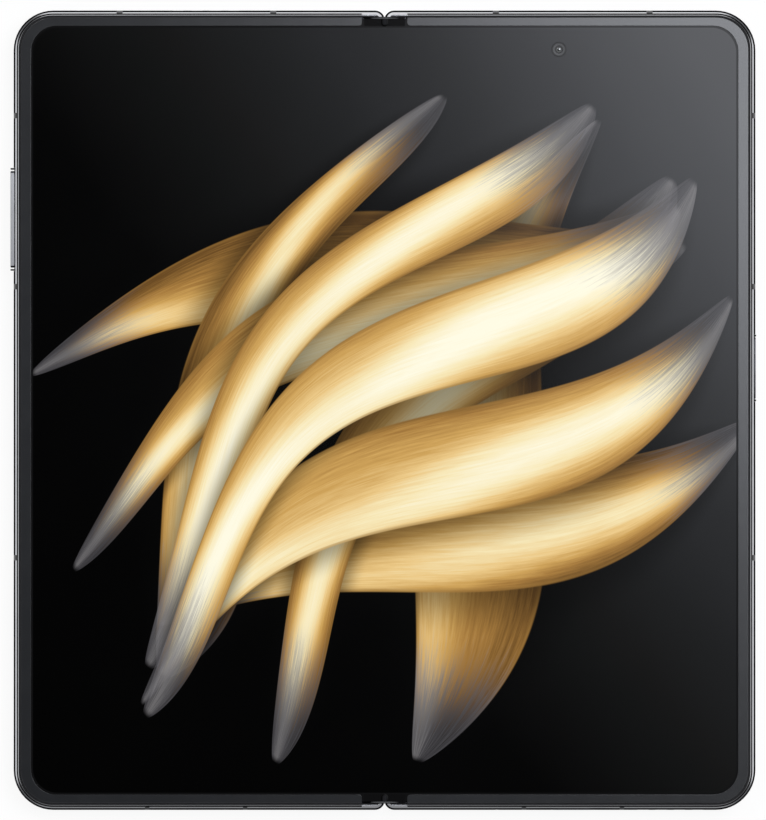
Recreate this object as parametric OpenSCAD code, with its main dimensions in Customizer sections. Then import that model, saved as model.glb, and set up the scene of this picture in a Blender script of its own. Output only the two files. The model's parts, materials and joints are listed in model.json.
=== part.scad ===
// Foldable phone, opened flat. Millimetres. +Z points at the viewer of the inner screen, +Y up the
// screen and +X to the right. The origin lies under the middle of the phone, on the plane of the
// camera rings' outer faces, which is the lowest plane of the opened phone.
// Each half turns by 90 degrees about its own hinge line, (pivot_x, pivot_z) and its mirror image.

/* [Body] */
// Width of the phone opened flat
open_w = 145.4; // [142:0.1:150]
// Height of the phone
open_h = 156.7; // [152:0.1:162]
// Thickness of a half, over the back glass and the bezel
body_t = 4.7; // [4.6:0.05:5.2]
// How far the bezel stands above the metal frame
bezel_rise = 0.3; // [0.2:0.05:0.4]
// Radius of the phone's four corners
corner_r = 7.8; // [6:0.1:10]
// How far the frame's rounded side bulges
side_bulge = 0.9; // [0.5:0.05:0.95]
// Depth of the frame's wall, in from its outermost line
wall_d = 2.2; // [2:0.05:2.5]
// Thickness of the plate that carries the display
mid_t = 0.5; // [0.4:0.05:0.7]
// Gap between the two halves at the middle
seam_gap = 0.3; // [0.2:0.05:0.5]
// Gap between the two bezels when the phone is shut
closed_gap = 0.5; // [0.3:0.05:0.8]

/* [Screen and bezel] */
// Thickness of the inner display
display_t = 0.7; // [0.5:0.05:0.8]
// Inset of the bezel's outer edge
bezel_out = 1.05; // [1:0.05:1.2]
// Inset of the bezel's inner edge at the left and right
bezel_in_side = 3.4; // [3:0.1:4]
// Inset of the bezel's inner edge at the top and bottom
bezel_in_end = 2.85; // [2.5:0.05:3.5]
// Width of the bezel's foot
bezel_foot = 0.6; // [0.4:0.05:0.7]
// Distance of the bezel's ends from the middle
bezel_end_x = 4.46; // [4.4:0.02:5]
// Inset of the display's edge
display_inset = 1.75; // [1.7:0.05:2]
// Half width of the part of the display that folds
fold_half = 4; // [3.8:0.1:4.3]

/* [Backs] */
// Thickness of the back glass and the cover glass
back_t = 0.55; // [0.5:0.05:0.6]
// Inset of the glass on the backs
back_inset = 1.15; // [1.12:0.01:1.3]
// Distance of the glass on the backs from the middle
back_x = 3.6; // [3.4:0.1:4]
// Thickness of the cover display's panel
cover_panel_t = 0.65; // [0.5:0.05:0.7]

/* [Hinge] */
// Thickness of the lip of each half below the spine
lip_t = 0.5; // [0.45:0.05:0.6]
// Gap between a lip and the spine
spine_gap = 0.15; // [0.1:0.01:0.2]
// How far the spine stands out behind the shut halves
spine_reach = 1.4; // [1.3:0.05:1.5]
// Wall of the spine cover
spine_wall = 0.5; // [0.4:0.05:0.6]
// Height of the spine's side walls, above the back face
spine_top = 2.5; // [2.4:0.05:2.55]
// Gap between the ends of the spine and the frame's rails
rail_gap = 0.05; // [0.03:0.01:0.1]
// Depth of the rail at the top and bottom of the hinge
rail_d = 1.3; // [1.2:0.05:1.4]
// Radius that the rails end in at the seam
rail_r = 1.9; // [1.8:0.05:2.5]
// Outer face of the wall beside the hinge shelf, from the middle
hinge_wall_x = 11.4; // [11.3:0.1:12]
// Height of the hinge shelf in each half
shelf_z = 2.5; // [2.4:0.05:2.5]
// Height of that shelf under the hinge's arms
arm_shelf_z = 2; // [1.9:0.05:2.05]
// Distance of the two hinge blocks from the middle
module_y = 52; // [50:0.5:56]
// Length of a hinge block
block_l = 30; // [29:0.5:34]
// Sideways offset of the arm shafts from the hinge lines
arm_offset = 0.9; // [0.85:0.01:0.95]
// Teeth of each gear, an even number
gear_teeth = 10; // [10:2:12]
// Width of the gears
gear_w = 2; // [1.5:0.1:2.2]
// Radius of the arm shafts
shaft_r = 0.35; // [0.3:0.01:0.38]
// Radius of the idler shafts
idler_shaft_r = 0.22; // [0.18:0.01:0.25]
// Thickness of the swing arms
arm_t = 0.45; // [0.35:0.05:0.45]
// Width of the swing arms
arm_w = 2; // [1.5:0.1:2]
// Distance of the arm pins from the middle
arm_pin_x = 7; // [6.8:0.05:7.2]
// Radius of the arm pins
arm_pin_r = 0.2; // [0.15:0.01:0.22]
// Inner radius of the crescents
crescent_in = 1.5; // [1.45:0.01:1.6]
// Outer radius of the crescents
crescent_out = 2; // [1.9:0.01:2.05]
// Width of the crescents
crescent_w = 3; // [2:0.1:3]
// Radius of the friction washers
washer_r = 0.8; // [0.7:0.01:0.8]
// Thickness of one friction washer
washer_t = 0.3; // [0.2:0.05:0.4]

/* [Support plates] */
// Inner edge of the support plates, from the middle
plate_in = 2.4; // [2.3:0.05:2.6]
// Hinge line of the support plates, from the middle
plate_pivot_x = 10.8; // [10.6:0.05:10.8]
// Thickness of the support plates
plate_t = 0.35; // [0.3:0.01:0.36]

/* [Keys] */
// Length of the volume key
volume_l = 20.1; // [16:0.1:22]
// Height of the volume key's middle up the left edge
volume_y = 37.4; // [36:0.1:40]
// How far the volume key stands out
volume_proud = 0.6; // [0.4:0.05:0.8]
// Length of the power key
power_l = 13.1; // [10:0.1:15]
// Height of the power key's middle up the right edge
power_y = 8.27; // [4:0.01:12]
// How far the power key stands out
power_proud = 0.1; // [0.05:0.01:0.2]
// Width of both keys
key_w = 1.9; // [1.6:0.05:2]

/* [Ports] */
// Width of the opening in the charging port
port_w = 8.34; // [8.34:0.01:8.4]
// Height of the opening in the charging port
port_h = 2.56; // [2.56:0.01:2.6]
// Depth of the charging port
port_depth = 6.2; // [6:0.1:7]
// Distance of the charging port from the middle
port_x = 36.9; // [35:0.1:39]
// Wall of the charging port's shell
port_wall = 0.12; // [0.1:0.01:0.13]
// Length of one speaker slot
slot_l = 2.6; // [2:0.1:3]
// Width of one speaker slot
slot_w = 1; // [0.8:0.05:1.2]
// Length of the card tray
tray_l = 16; // [15:0.5:18]
// Width of the card tray's face
tray_w = 10.9; // [10.5:0.1:11.5]
// Radius of the tray's eject hole
eject_r = 0.45; // [0.4:0.01:0.5]

/* [Cameras] */
// Side of the camera deck
deck_w = 34; // [32:0.5:36]
// Corner radius of the camera deck
deck_r = 9; // [7:0.5:11]
// Height of the camera deck over the back glass
deck_h = 1.6; // [1.4:0.1:2]
// Height of the lens rings over the deck
ring_h = 0.8; // [0.5:0.1:1]
// Radius of the lens rings
ring_r = 6; // [5.6:0.1:6.4]
// Radius of the lens glasses
lens_r = 4.7; // [4.4:0.1:4.9]
// Distance of the lenses from the middle of the deck
lens_pitch = 7.6; // [7.4:0.1:8]
// Radius of the hole for the inner camera
inner_cam_r = 1.4; // [1.2:0.05:1.6]
// Distance of the inner camera from the right edge
inner_cam_side = 38.55; // [38:0.05:42]
// Distance of the inner camera from the top edge
inner_cam_top = 7.7; // [7:0.1:9]

/* [Antenna bands] */
// Width of the bands in the top edge
band_top_w = 1.2; // [0.8:0.05:1.5]
// Width of the bands in the bottom edge
band_bottom_w = 0.87; // [0.8:0.01:1.5]
// Width of the bands in the side edges
band_side_w = 1.07; // [0.8:0.01:1.5]
// Depth of the bands
band_d = 1.6; // [1.4:0.05:1.7]

/* [Inside] */
// Thickness of the batteries
battery_t = 1.6; // [1.4:0.05:1.65]
// Thickness of the circuit boards
board_t = 0.6; // [0.5:0.05:0.8]
// Width of each flex cable
flex_w = 5; // [4:0.1:5.5]
// Thickness of the flex cables
flex_t = 0.1; // [0.08:0.01:0.15]

/* [Clearances] */
// Gap round pieces that sit in a recess
fit = 0.05; // [0.04:0.01:0.06]
// Gap between a shaft and its bore
running = 0.02; // [0.015:0.005:0.03]
// Free play between the gear teeth
gear_play = 0.04; // [0.03:0.005:0.06]

/* [Hidden] */
$fn = 96;

half_w = open_w / 2;
half_h = open_h / 2;
lift = deck_h + ring_h;                 // height of the halves' back faces over the origin
frame_t = body_t - bezel_rise;          // top of the metal frame
seat_z = frame_t - 0.1 - display_t;     // face that the display lies on
display_z = seat_z + display_t;         // outer face of the display
side_r = (pow(frame_t / 2, 2) + pow(side_bulge, 2)) / (2 * side_bulge);
far = 10;                               // reach of a cut that runs out of the part

pivot_z = (body_t + closed_gap / 2 + lip_t + spine_gap + spine_reach) / 2;
pivot_x = body_t + closed_gap / 2 - pivot_z;
spine_r = pivot_z - lip_t - spine_gap;  // outer radius of the spine about the hinge lines
cup_r = pivot_z - lip_t;                // radius of the halves' hollow round the spine
spine_in_r = spine_r - spine_wall;
seam_r = pivot_x - fit;                 // what stays inside this radius never meets the other half
wall_x = pivot_x + cup_r;               // where the hollow for the spine ends
rail_y = half_h - rail_d;               // inner face of the rails
spine_y = rail_y - rail_gap;            // ends of the spine
block_top = seat_z - 0.45;

arm_x = pivot_x + arm_offset;           // arm shafts
arm_z = pivot_z - arm_offset;
gear_r = arm_x / 3;                     // pitch radius: four equal gears stand in a row
gear_m = 2 * gear_r / gear_teeth;       // gear module
gear_tip = gear_r + 0.8 * gear_m;
gear_root = gear_r - 1.15 * gear_m;
pressure = 25;
gear_base = gear_r * cos(pressure);
arm_pin_z = arm_z + arm_t * 0.55;
slot_r = arm_offset * sqrt(2);          // radius of the slot that the arm pin runs in
slot_x = arm_pin_x - arm_offset;
slot_z = arm_pin_z + arm_offset;
slot_half = arm_pin_r + fit;
bar_top = arm_z + arm_t;

// places along a hinge block, from its middle
arm_y = -7.5;
gear_y = arm_y + arm_w + 0.1;
crescent_y = block_l / 2 - 5.5;         // inner end of the right crescent; the left one mirrors it
washer_y = -1.4;
washers = 12;
shaft_y = [-8.6, 4];
idler_shaft_y = [-8.4, -2.4];
block_screw_y = block_l / 2 - 1.2;
slot_plate_w = 0.8;
slot_plate_y = arm_y + arm_w + 0.15;

shelf_gap = 0.5;                        // shelf under the arms runs this far past a block
bracket_l = block_l - 3;
bracket_x = [8, 10.3];
bracket_screw_x = 9.2;
bracket_screws_y = [-6.5, 0, 6.5];
slot_plate_x = [4.6, 8.2];
slot_plate_top = seat_z - 0.4;
bracket_z = arm_shelf_z + 0.6;
plate_gap = 0.02;                       // between the support plates and the display
plate_top = seat_z - plate_gap;
knuckle_r = plate_t / 2;
plate_y = half_h - wall_d - 0.15;
plate_notch_x = 8.5;

ledge_z = back_t + 0.03;
recess_in = back_inset - fit;
cavity_z = 1.3;                         // underside of the hinge shelf, over the cover display
panel_z = ledge_z;
bay_z = panel_z + cover_panel_t + 0.05; // floor of what lies over the cover display
mid_z = seat_z - mid_t;
bay_top = mid_z - 0.1;
hollow_x = back_x + 2;                  // inner end of the space under the hinge shelf
ring_in = wall_d + 0.2;                 // what lies inside the frame keeps this inset

edge_z = frame_t / 2;                   // middle of the keys
port_z = ledge_z + 0.02 + port_wall + port_h / 2;
tray_z = 2;
tray_h = 1.9;
tray_side = [-port_x - tray_w / 2 + 0.25, -port_x + tray_w / 2 - 2.05];
eject_x = -port_x + tray_w / 2 - 1.1;
key_depth = 1.95;
flange_t = 0.3;
flange_out = 0.4;
key_travel = 0.25;                      // how far a key presses in
key_pocket = key_depth - flange_t - key_travel; // inset of the pocket behind each key
switch_t = 0.6;
speaker_x = half_w - 22.1;
speaker_depth = 10.6;
speaker_pitch = 3.6;
speaker_slots = 4;
earpiece_x = -35;
deck_x = half_w - deck_w / 2 - 3.7;
deck_y = half_h - deck_w / 2 - 5.35;
lens_z = -deck_h - 0.5;
inner_cam_x = half_w - inner_cam_side;
inner_cam_y = half_h - inner_cam_top;
cover_cam = [-37, half_h - 12.35];
cover_cam_r = 1.9;
mic_r = 0.5;
flex_y = [24, 31];
flex_x = 13.6;
flex_z = shelf_z + 0.07;
flex_dip = 1;
flex_slack_x = 3.4;                     // half width of the slack loop
board_edge = 20;                        // lower edge of the boards, just above the batteries
bay_x = half_w - ring_in;               // outer side of the space inside a half
bay_y = half_h - ring_in;               // its upper end and, mirrored, its lower end
pack_out = bay_x - 3.3;                 // outer side of the batteries and boards
battery_in = 16;
battery_y = [22 - bay_y, board_edge - 3];
board_in = flex_x + 0.6;
board_top = bay_y - 18;                 // upper edge of the left board
board_l = board_top - board_edge;
deck_in = deck_x - deck_w / 2;          // inner side of the camera deck
deck_low = deck_y - deck_w / 2;         // its lower side
switch_x = [bay_x - switch_t, bay_x];
band_top_x = [21.8, 51.9];
band_bottom_x = [27.3, 46.5];
band_side_y = [57.7, 24.2, -28.9];
frame_color = [0.74, 0.74, 0.76];
black = [0.06, 0.06, 0.07];
steel = [0.6, 0.61, 0.63];

// ---- helpers ----

module place() translate([0, 0, lift]) children();

module on_side(side) if (side > 0) children(); else mirror([1, 0, 0]) children();

module top_and_bottom() {
  children();
  mirror([0, 1, 0]) children();
}

// A shape drawn in x and z, run along y from y0 to y1
module along_y(y0, y1) translate([0, y1, 0]) rotate([90, 0, 0]) linear_extrude(y1 - y0) children();

// A box between two corners
module span(x, y, z) translate([x[0], y[0], z[0]]) cube([x[1] - x[0], y[1] - y[0], z[1] - z[0]]);

module round_rect(w, h, r) {
  square([w - 2 * r, h], center = true);
  square([w, h - 2 * r], center = true);
  for (x = [-1, 1], y = [-1, 1]) translate([x * (w / 2 - r), y * (h / 2 - r)]) circle(r = r);
}

// A box with rounded upright edges
module slab(x, y, z, r = 0.5)
  translate([(x[0] + x[1]) / 2, (y[0] + y[1]) / 2, z[0]])
    linear_extrude(z[1] - z[0]) round_rect(x[1] - x[0], y[1] - y[0], r);

// A slot with round ends that goes through the top or bottom edge, its middle at (x, z)
module edge_slot(x, z, w, h, y0, y1)
  translate([x, 0, z]) along_y(y0, y1) {
    square([w - h, h], center = true);
    for (s = [-1, 1]) translate([s * (w - h) / 2, 0]) circle(r = h / 2);
  }

// Plan of the right half, inset from the phone's outline and starting at x0
module half_plan(inset_x, inset_y, x0) {
  r = max(corner_r - max(inset_x, inset_y), 0.5);
  x1 = half_w - inset_x;
  y1 = half_h - inset_y;
  translate([x0, -y1]) square([x1 - x0 - r, 2 * y1]);
  translate([x0, r - y1]) square([x1 - x0, 2 * (y1 - r)]);
  for (s = [-1, 1]) translate([x1 - r, s * (y1 - r)]) circle(r = r);
}

// ---- frames ----

// Section of the frame's wall: depth inwards and height, with the bulged outer side
module side_profile(depth, inset = 0)
  intersection() {
    translate([side_r, frame_t / 2]) circle(r = side_r);
    translate([inset, 0]) square([depth - inset, frame_t]);
  }

module side_run(depth)
  translate([half_w, half_h - corner_r, 0]) rotate([90, 0, 0]) mirror([1, 0, 0])
    linear_extrude(open_h - 2 * corner_r) side_profile(depth);

module end_run(depth, x0)
  translate([x0, half_h, 0]) rotate([90, 0, 90]) mirror([1, 0, 0])
    linear_extrude(half_w - corner_r - x0) side_profile(depth);

module frame_corner(depth)
  translate([half_w - corner_r, half_h - corner_r, 0])
    rotate_extrude(angle = 90) translate([corner_r, 0]) mirror([1, 0]) side_profile(depth);

// The three-sided wall of the right half
module frame_wall(depth) {
  side_run(depth);
  top_and_bottom() {
    end_run(depth, wall_x);
    frame_corner(depth);
  }
}

// The rail that passes the end of the spine; its rounded edge turns a corner into the seam
module rail() difference() {
  union() {
    end_run(rail_d, rail_r - rail_gap);
    intersection() {
      translate([rail_r - rail_gap, half_h - rail_r, 0]) rotate([0, 0, 90]) rotate_extrude(angle = 90)
        translate([rail_r, 0]) mirror([1, 0]) side_profile((rail_d + rail_r) / 2);
      span([seam_gap / 2, rail_r], [rail_y, half_h + 1], [-1, far]);
    }
  }
  along_y(rail_y - 1, half_h + 1) difference() {
    translate([-1, pivot_z]) square([pivot_x + 1, far]);
    translate([pivot_x, pivot_z]) circle(r = seam_r);
  }
  translate([far + wall_x, 0, 0]) span([0, open_w], [0, half_h + 1], [-1, far]);
}

// The lip under the spine, the hollow round the spine and the shelf under the hinge
module hinge_side() difference() {
  along_y(-rail_y, rail_y) difference() {
    union() {
      translate([seam_gap / 2, 0]) square([hinge_wall_x - seam_gap / 2, shelf_z]);
      translate([plate_pivot_x, cavity_z]) square([hinge_wall_x - plate_pivot_x, seat_z - cavity_z]);
    }
    translate([pivot_x, pivot_z]) circle(r = cup_r);
    translate([-1, lip_t]) square([pivot_x + 1, far]);
    translate([hollow_x, -1]) square([far, cavity_z + 1]);
    translate([plate_pivot_x, plate_top - knuckle_r]) circle(r = knuckle_r + fit);
  }
  top_and_bottom() span([pivot_x, plate_pivot_x - 0.1],
                        [module_y - block_l / 2 - shelf_gap, module_y + block_l / 2 + shelf_gap],
                        [arm_shelf_z, far]);
}

module band_cutters(depth) {
  for (x = band_top_x)
    span([x - band_top_w / 2, x + band_top_w / 2], [half_h - depth, half_h + 1], [-1, far]);
  for (x = band_bottom_x)
    span([x - band_bottom_w / 2, x + band_bottom_w / 2], [-half_h - 1, depth - half_h], [-1, far]);
  for (y = band_side_y)
    span([half_w - depth, half_w + 1], [y - band_side_w / 2, y + band_side_w / 2], [-1, far]);
}

// Rebates for the glass on the back and for the bezel and display on the front
module frame_rebates() {
  translate([0, 0, -1]) linear_extrude(ledge_z + 1) half_plan(recess_in, recess_in, back_x - fit);
  translate([0, 0, seat_z]) linear_extrude(far)
    half_plan(bezel_out - fit / 2, bezel_out - fit / 2, bezel_end_x - fit);
}

module screw_places(side) {
  for (y = [-1, 1] * module_y, dy = bracket_screws_y) translate([bracket_screw_x, y + dy, 0]) children();
}

// What both halves' frames share, drawn for the right
module half_frame(side) difference() {
  union() {
    frame_wall(wall_d);
    top_and_bottom() rail();
    hinge_side();
    difference() {
      translate([0, 0, mid_z]) linear_extrude(mid_t) half_plan(wall_d - 1, wall_d - 1, plate_pivot_x);
      along_y(-half_h, half_h)
        translate([plate_pivot_x, plate_top - knuckle_r]) circle(r = knuckle_r + fit);
    }
  }
  frame_rebates();
  band_cutters(band_d);
  screw_places(side) translate([0, 0, cavity_z - 1]) cylinder(r = 0.45, h = far);
  span([plate_pivot_x - 1, hinge_wall_x + 1], [flex_y[0] - 3, flex_y[1] + 3], [shelf_z, mid_z]);
}

// Slot and inner pocket for a key, in the right edge
module key_cutter(l, y) {
  span([half_w - wall_d - 1, half_w + 1], [y - l / 2 - 2 * fit, y + l / 2 + 2 * fit],
       [edge_z - key_w / 2 - fit, edge_z + key_w / 2 + fit]);
  span([half_w - wall_d - 1, half_w - key_pocket], [y - l / 2 - 0.8, y + l / 2 + 0.8],
       [edge_z - key_w / 2 - 0.25, edge_z + key_w / 2 + 0.25]);
}

module tray_plan(w, gap, y0, y1)
  span([-port_x - w / 2 - gap, -port_x + w / 2 + gap], [y0, y1],
       [tray_z - tray_h / 2 - gap, tray_z + tray_h / 2 + gap]);

module left_frame() color(frame_color) place() difference() {
  mirror([1, 0, 0]) half_frame(-1);
  mirror([1, 0, 0]) key_cutter(volume_l, volume_y);
  tray_plan(tray_w, fit, -half_h - 1, wall_d - half_h + 1);
  for (i = [0:3]) edge_slot(earpiece_x + (i - 1.5) * speaker_pitch, edge_z, slot_l, slot_w,
                            half_h - wall_d - 1, half_h + 1);
  edge_slot(-60, edge_z, 2 * mic_r + 0.01, 2 * mic_r, half_h - wall_d - 1, half_h + 1);
}

module right_frame() color(frame_color) place() difference() {
  half_frame(1);
  key_cutter(power_l, power_y);
  edge_slot(port_x, port_z, port_w + 2 * port_wall + 2 * fit, port_h + 2 * port_wall + 2 * fit,
            -half_h - 1, wall_d - half_h + 1);
  span([port_x - port_w / 2 - 0.4, port_x + port_w / 2 + 0.4],
       [wall_d - half_h - 0.3, port_depth - half_h + 2],
       [mid_z - 1, port_z + port_h / 2 + port_wall + fit]);
  for (i = [0:speaker_slots - 1])
    edge_slot(speaker_x + i * speaker_pitch, edge_z, slot_l, slot_w, -half_h - 1, wall_d - half_h + 1);
  edge_slot(22, edge_z, 2 * mic_r + 0.01, 2 * mic_r, -half_h - 1, wall_d - half_h + 1);
  edge_slot(36, edge_z, 2 * mic_r + 0.01, 2 * mic_r, half_h - wall_d - 1, half_h + 1);
  translate([inner_cam_x, inner_cam_y, 0]) cylinder(r = inner_cam_r + fit, h = far);
}

module antenna_bands(side) color([0.5, 0.5, 0.52]) place() on_side(side)
  difference() {
    intersection() {
      frame_wall(wall_d);
      band_cutters(band_d);
    }
    frame_rebates();
  }

module left_antenna_bands() antenna_bands(-1);
module right_antenna_bands() antenna_bands(1);

// ---- screen ----

module bezel(side) color([0.3, 0.3, 0.31]) place() on_side(side) {
  difference() {
    translate([0, 0, display_z + 0.03]) linear_extrude(body_t - display_z - 0.03)
      half_plan(bezel_out, bezel_out, bezel_end_x);
    translate([0, 0, display_z - 1]) linear_extrude(far)
      half_plan(bezel_in_side, bezel_in_end, bezel_end_x - 1);
  }
  difference() {
    translate([0, 0, seat_z]) linear_extrude(display_z + 0.03 - seat_z)
      half_plan(bezel_out, bezel_out, bezel_end_x);
    translate([0, 0, seat_z - 1]) linear_extrude(far)
      half_plan(bezel_out + bezel_foot, bezel_out + bezel_foot, bezel_end_x - 1);
  }
}

module left_bezel() bezel(-1);
module right_bezel() bezel(1);

module display_half(side) color(black) place() on_side(side)
  translate([0, 0, seat_z]) linear_extrude(display_t)
    half_plan(display_inset, display_inset, fold_half + 0.02);

module display_left() display_half(-1);

module display_right() difference() {
  display_half(1);
  color(black) place() translate([inner_cam_x, inner_cam_y, 0])
    cylinder(r = inner_cam_r + fit, h = far);
}

module display_fold() color([0.12, 0.11, 0.1]) place()
  span([-fold_half, fold_half], [display_inset - half_h, half_h - display_inset], [seat_z, display_z]);

// ---- hinge, on the spine ----

// Section of the spine: two arcs about the hinge lines and a flat between them
module spine_section(r) {
  for (s = [-1, 1]) translate([s * pivot_x, pivot_z]) circle(r = r);
  translate([-pivot_x, pivot_z - r]) square([2 * pivot_x, r]);
}

module spine_cover() color([0.7, 0.7, 0.72]) place() difference() {
  along_y(-spine_y, spine_y) intersection() {
    spine_section(spine_r);
    translate([-far, 0]) square([2 * far, spine_top]);
  }
  along_y(spine_wall - spine_y, spine_y - spine_wall) spine_section(spine_in_r);
  hinge_screw_places() translate([0, 0, pivot_z - spine_in_r - 0.3]) cylinder(r = 0.4, h = far);
}

module hinge_screw_places()
  for (s = [-1, 1], dy = [-1, 1]) translate([0, s * module_y + dy * block_screw_y, 0]) children();

// Path of the right crescent and of its bar through the block
module crescent_cut() {
  difference() {
    translate([pivot_x, pivot_z]) circle(r = crescent_out + fit);
    translate([pivot_x, pivot_z]) circle(r = crescent_in - fit);
  }
  difference() {
    translate([pivot_x, arm_z - fit]) square([far, far]);
    translate([pivot_x, pivot_z]) circle(r = crescent_in - fit);
  }
}

module hinge_block() color(steel) place() translate([0, module_y, 0]) difference() {
  along_y(-block_l / 2, block_l / 2) intersection() {
    spine_section(spine_in_r - fit);
    translate([-far, 0]) square([2 * far, block_top]);
  }
  along_y(crescent_y - fit, crescent_y + crescent_w + fit) crescent_cut();
  mirror([1, 0, 0]) along_y(-crescent_y - crescent_w - fit, fit - crescent_y) crescent_cut();
  along_y(arm_y - fit, gear_y + gear_w + fit) {
    for (i = [-3, -1, 1, 3]) translate([i * gear_r, arm_z]) circle(r = gear_tip + 0.06);
    translate([-far, arm_z - fit]) square([2 * far, far]);
  }
  along_y(washer_y - 0.1, washer_y + washers * (washer_t + running) + 0.1)
    for (s = [-1, 1]) {
      translate([s * arm_x, arm_z]) circle(r = washer_r + fit);
      translate([s * arm_x - washer_r - fit, arm_z]) square([2 * (washer_r + fit), far]);
    }
  for (s = [-1, 1]) {
    along_y(shaft_y[0] - fit, shaft_y[1] + fit)
      translate([s * arm_x, arm_z]) circle(r = shaft_r + running);
    along_y(idler_shaft_y[0] - fit, idler_shaft_y[1] + fit)
      translate([s * gear_r, arm_z]) circle(r = idler_shaft_r + running);
  }
  for (dy = [-1, 1]) translate([0, dy * block_screw_y, 0]) {
    cylinder(r = 0.42, h = far);
    translate([0, 0, block_top - 0.5]) cylinder(r = 0.85, h = far);
  }
}

module hinge_block_top() hinge_block();
module hinge_block_bottom() mirror([0, 1, 0]) hinge_block();

module gear_shafts() color(steel) place() top_and_bottom() translate([0, module_y, 0])
  for (s = [-1, 1]) {
    along_y(shaft_y[0], shaft_y[1]) translate([s * arm_x, arm_z]) circle(r = shaft_r);
    along_y(idler_shaft_y[0], idler_shaft_y[1])
      translate([s * gear_r, arm_z]) circle(r = idler_shaft_r);
  }

// Stacks of washers squeezed on the arm shafts, which hold the fold at any angle
module friction_washers() color([0.45, 0.42, 0.38]) place() top_and_bottom()
  translate([0, module_y, 0]) for (s = [-1, 1], i = [0:washers - 1]) {
    y = washer_y + i * (washer_t + running);
    along_y(y, y + washer_t) translate([s * arm_x, arm_z]) difference() {
      circle(r = washer_r);
      circle(r = shaft_r + running);
    }
  }

module hinge_screws() color([0.35, 0.35, 0.37]) place() hinge_screw_places() difference() {
  union() {
    translate([0, 0, pivot_z - spine_in_r - 0.25])
      cylinder(r = 0.38, h = block_top - 0.5 - pivot_z + spine_in_r + 0.25);
    translate([0, 0, block_top - 0.5]) cylinder(r = 0.8, h = 0.35);
  }
  translate([0, 0, block_top - 0.35]) cube([1.1, 0.25, 0.5], center = true);
  translate([0, 0, block_top - 0.35]) cube([0.25, 1.1, 0.5], center = true);
}

module centre_support() color([0.28, 0.28, 0.3]) place()
  along_y(-module_y + block_l / 2 + 1, flex_y[0] - 4) difference() {
    intersection() {
      spine_section(spine_in_r - fit);
      translate([-1.9, 0]) square([3.8, seat_z - 0.15]);
    }
    translate([-1.2, 0]) square([2.4, seat_z - 0.7]);
  }

// T-shaped cap between the rails at the end of the fold
module end_cap() color([0.62, 0.62, 0.64]) place() {
  span([-2.7, 2.7], [spine_y - 0.35, spine_y], [spine_top, body_t - 0.15]);
  span([-0.43, 0.43], [half_h - 2.95, spine_y - 0.35], [display_z + 0.03, body_t - 0.15]);
  translate([0, half_h - 2.95, display_z + 0.03]) cylinder(r = 0.43, h = body_t - display_z - 0.18);
}

module end_cap_top() end_cap();
module end_cap_bottom() mirror([0, 1, 0]) end_cap();

// Height of the flex cables' middle: flat, with a slack dip into the spine
function flex_height(x) = flex_z - (abs(x) < flex_slack_x
  ? flex_dip * pow(cos(90 * x / flex_slack_x), 2) : 0);

module flex_cables() color([0.75, 0.45, 0.1]) place() {
  xs = [-flex_x, for (i = [-8:8]) i / 8 * flex_slack_x, flex_x];
  n = len(xs) - 1;
  for (y = flex_y) along_y(y - flex_w / 2, y + flex_w / 2)
    polygon([for (x = xs) [x, flex_height(x) - flex_t / 2],
             for (i = [0:n]) [xs[n - i], flex_height(xs[n - i]) + flex_t / 2]]);
}

// ---- hinge, on the halves ----

module support_plate(side) color([0.5, 0.5, 0.52]) place() on_side(side) difference() {
  along_y(-plate_y, plate_y) {
    translate([plate_in, plate_top - plate_t]) square([plate_pivot_x - plate_in, plate_t]);
    translate([plate_pivot_x, plate_top - knuckle_r]) circle(r = knuckle_r);
  }
  top_and_bottom() span([-1, plate_notch_x],
                        [module_y - block_l / 2 + 1, module_y + block_l / 2 - 1], [0, far]);
}

module left_support_plate() support_plate(-1);
module right_support_plate() support_plate(1);

// Brackets on one half: foot, slotted plate for the arm pin, and the crescent with its bar
module hinge_brackets(side) color(steel) place() top_and_bottom() translate([0, module_y, 0]) {
  y0 = side > 0 ? crescent_y : -crescent_y - crescent_w;
  on_side(side) difference() {
    union() {
      span(bracket_x, [-bracket_l / 2, bracket_l / 2], [arm_shelf_z, bracket_z]);
      along_y(slot_plate_y, slot_plate_y + slot_plate_w) difference() {
        translate([slot_plate_x[0], arm_shelf_z])
          square([slot_plate_x[1] - slot_plate_x[0], slot_plate_top - arm_shelf_z]);
        intersection() {
          difference() {
            translate([slot_x, slot_z]) circle(r = slot_r + slot_half);
            translate([slot_x, slot_z]) circle(r = slot_r - slot_half);
          }
          translate([slot_x, slot_z]) polygon([[0, 0], [far, -far], [-far, -far]]);
        }
        for (s = [-1, 1]) translate([slot_x + s * arm_offset, arm_pin_z]) circle(r = slot_half);
      }
      along_y(y0, y0 + crescent_w) {
        intersection() {
          difference() {
            translate([pivot_x, pivot_z]) circle(r = crescent_out);
            translate([pivot_x, pivot_z]) circle(r = crescent_in);
          }
          union() {
            translate([pivot_x, 0]) square([far, bar_top]);
            translate([pivot_x - far, 0]) square([far, pivot_z - crescent_in / 2]);
          }
        }
        translate([pivot_x + (crescent_in + crescent_out) / 2 * 0.89, arm_z])
          square([bracket_x[1] - pivot_x - (crescent_in + crescent_out) / 2 * 0.89, arm_t]);
      }
    }
    for (dy = bracket_screws_y) translate([bracket_screw_x, dy, 0]) cylinder(r = 0.47, h = far);
  }
}

module left_hinge_brackets() hinge_brackets(-1);
module right_hinge_brackets() hinge_brackets(1);

// One flank point of a gear tooth: its radius r and half angle about the tooth's middle
function roll(r) = sqrt(pow(r / gear_base, 2) - 1) * 180 / PI - acos(gear_base / r);
function half_angle(r) = 90 / gear_teeth - gear_play / 4 / gear_r * 180 / PI
                         + roll(gear_r) - roll(max(r, gear_base));
function tooth_point(i, side, r) = let(a = 360 / gear_teeth * i + side * half_angle(r))
  [r * cos(a), r * sin(a)];

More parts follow.
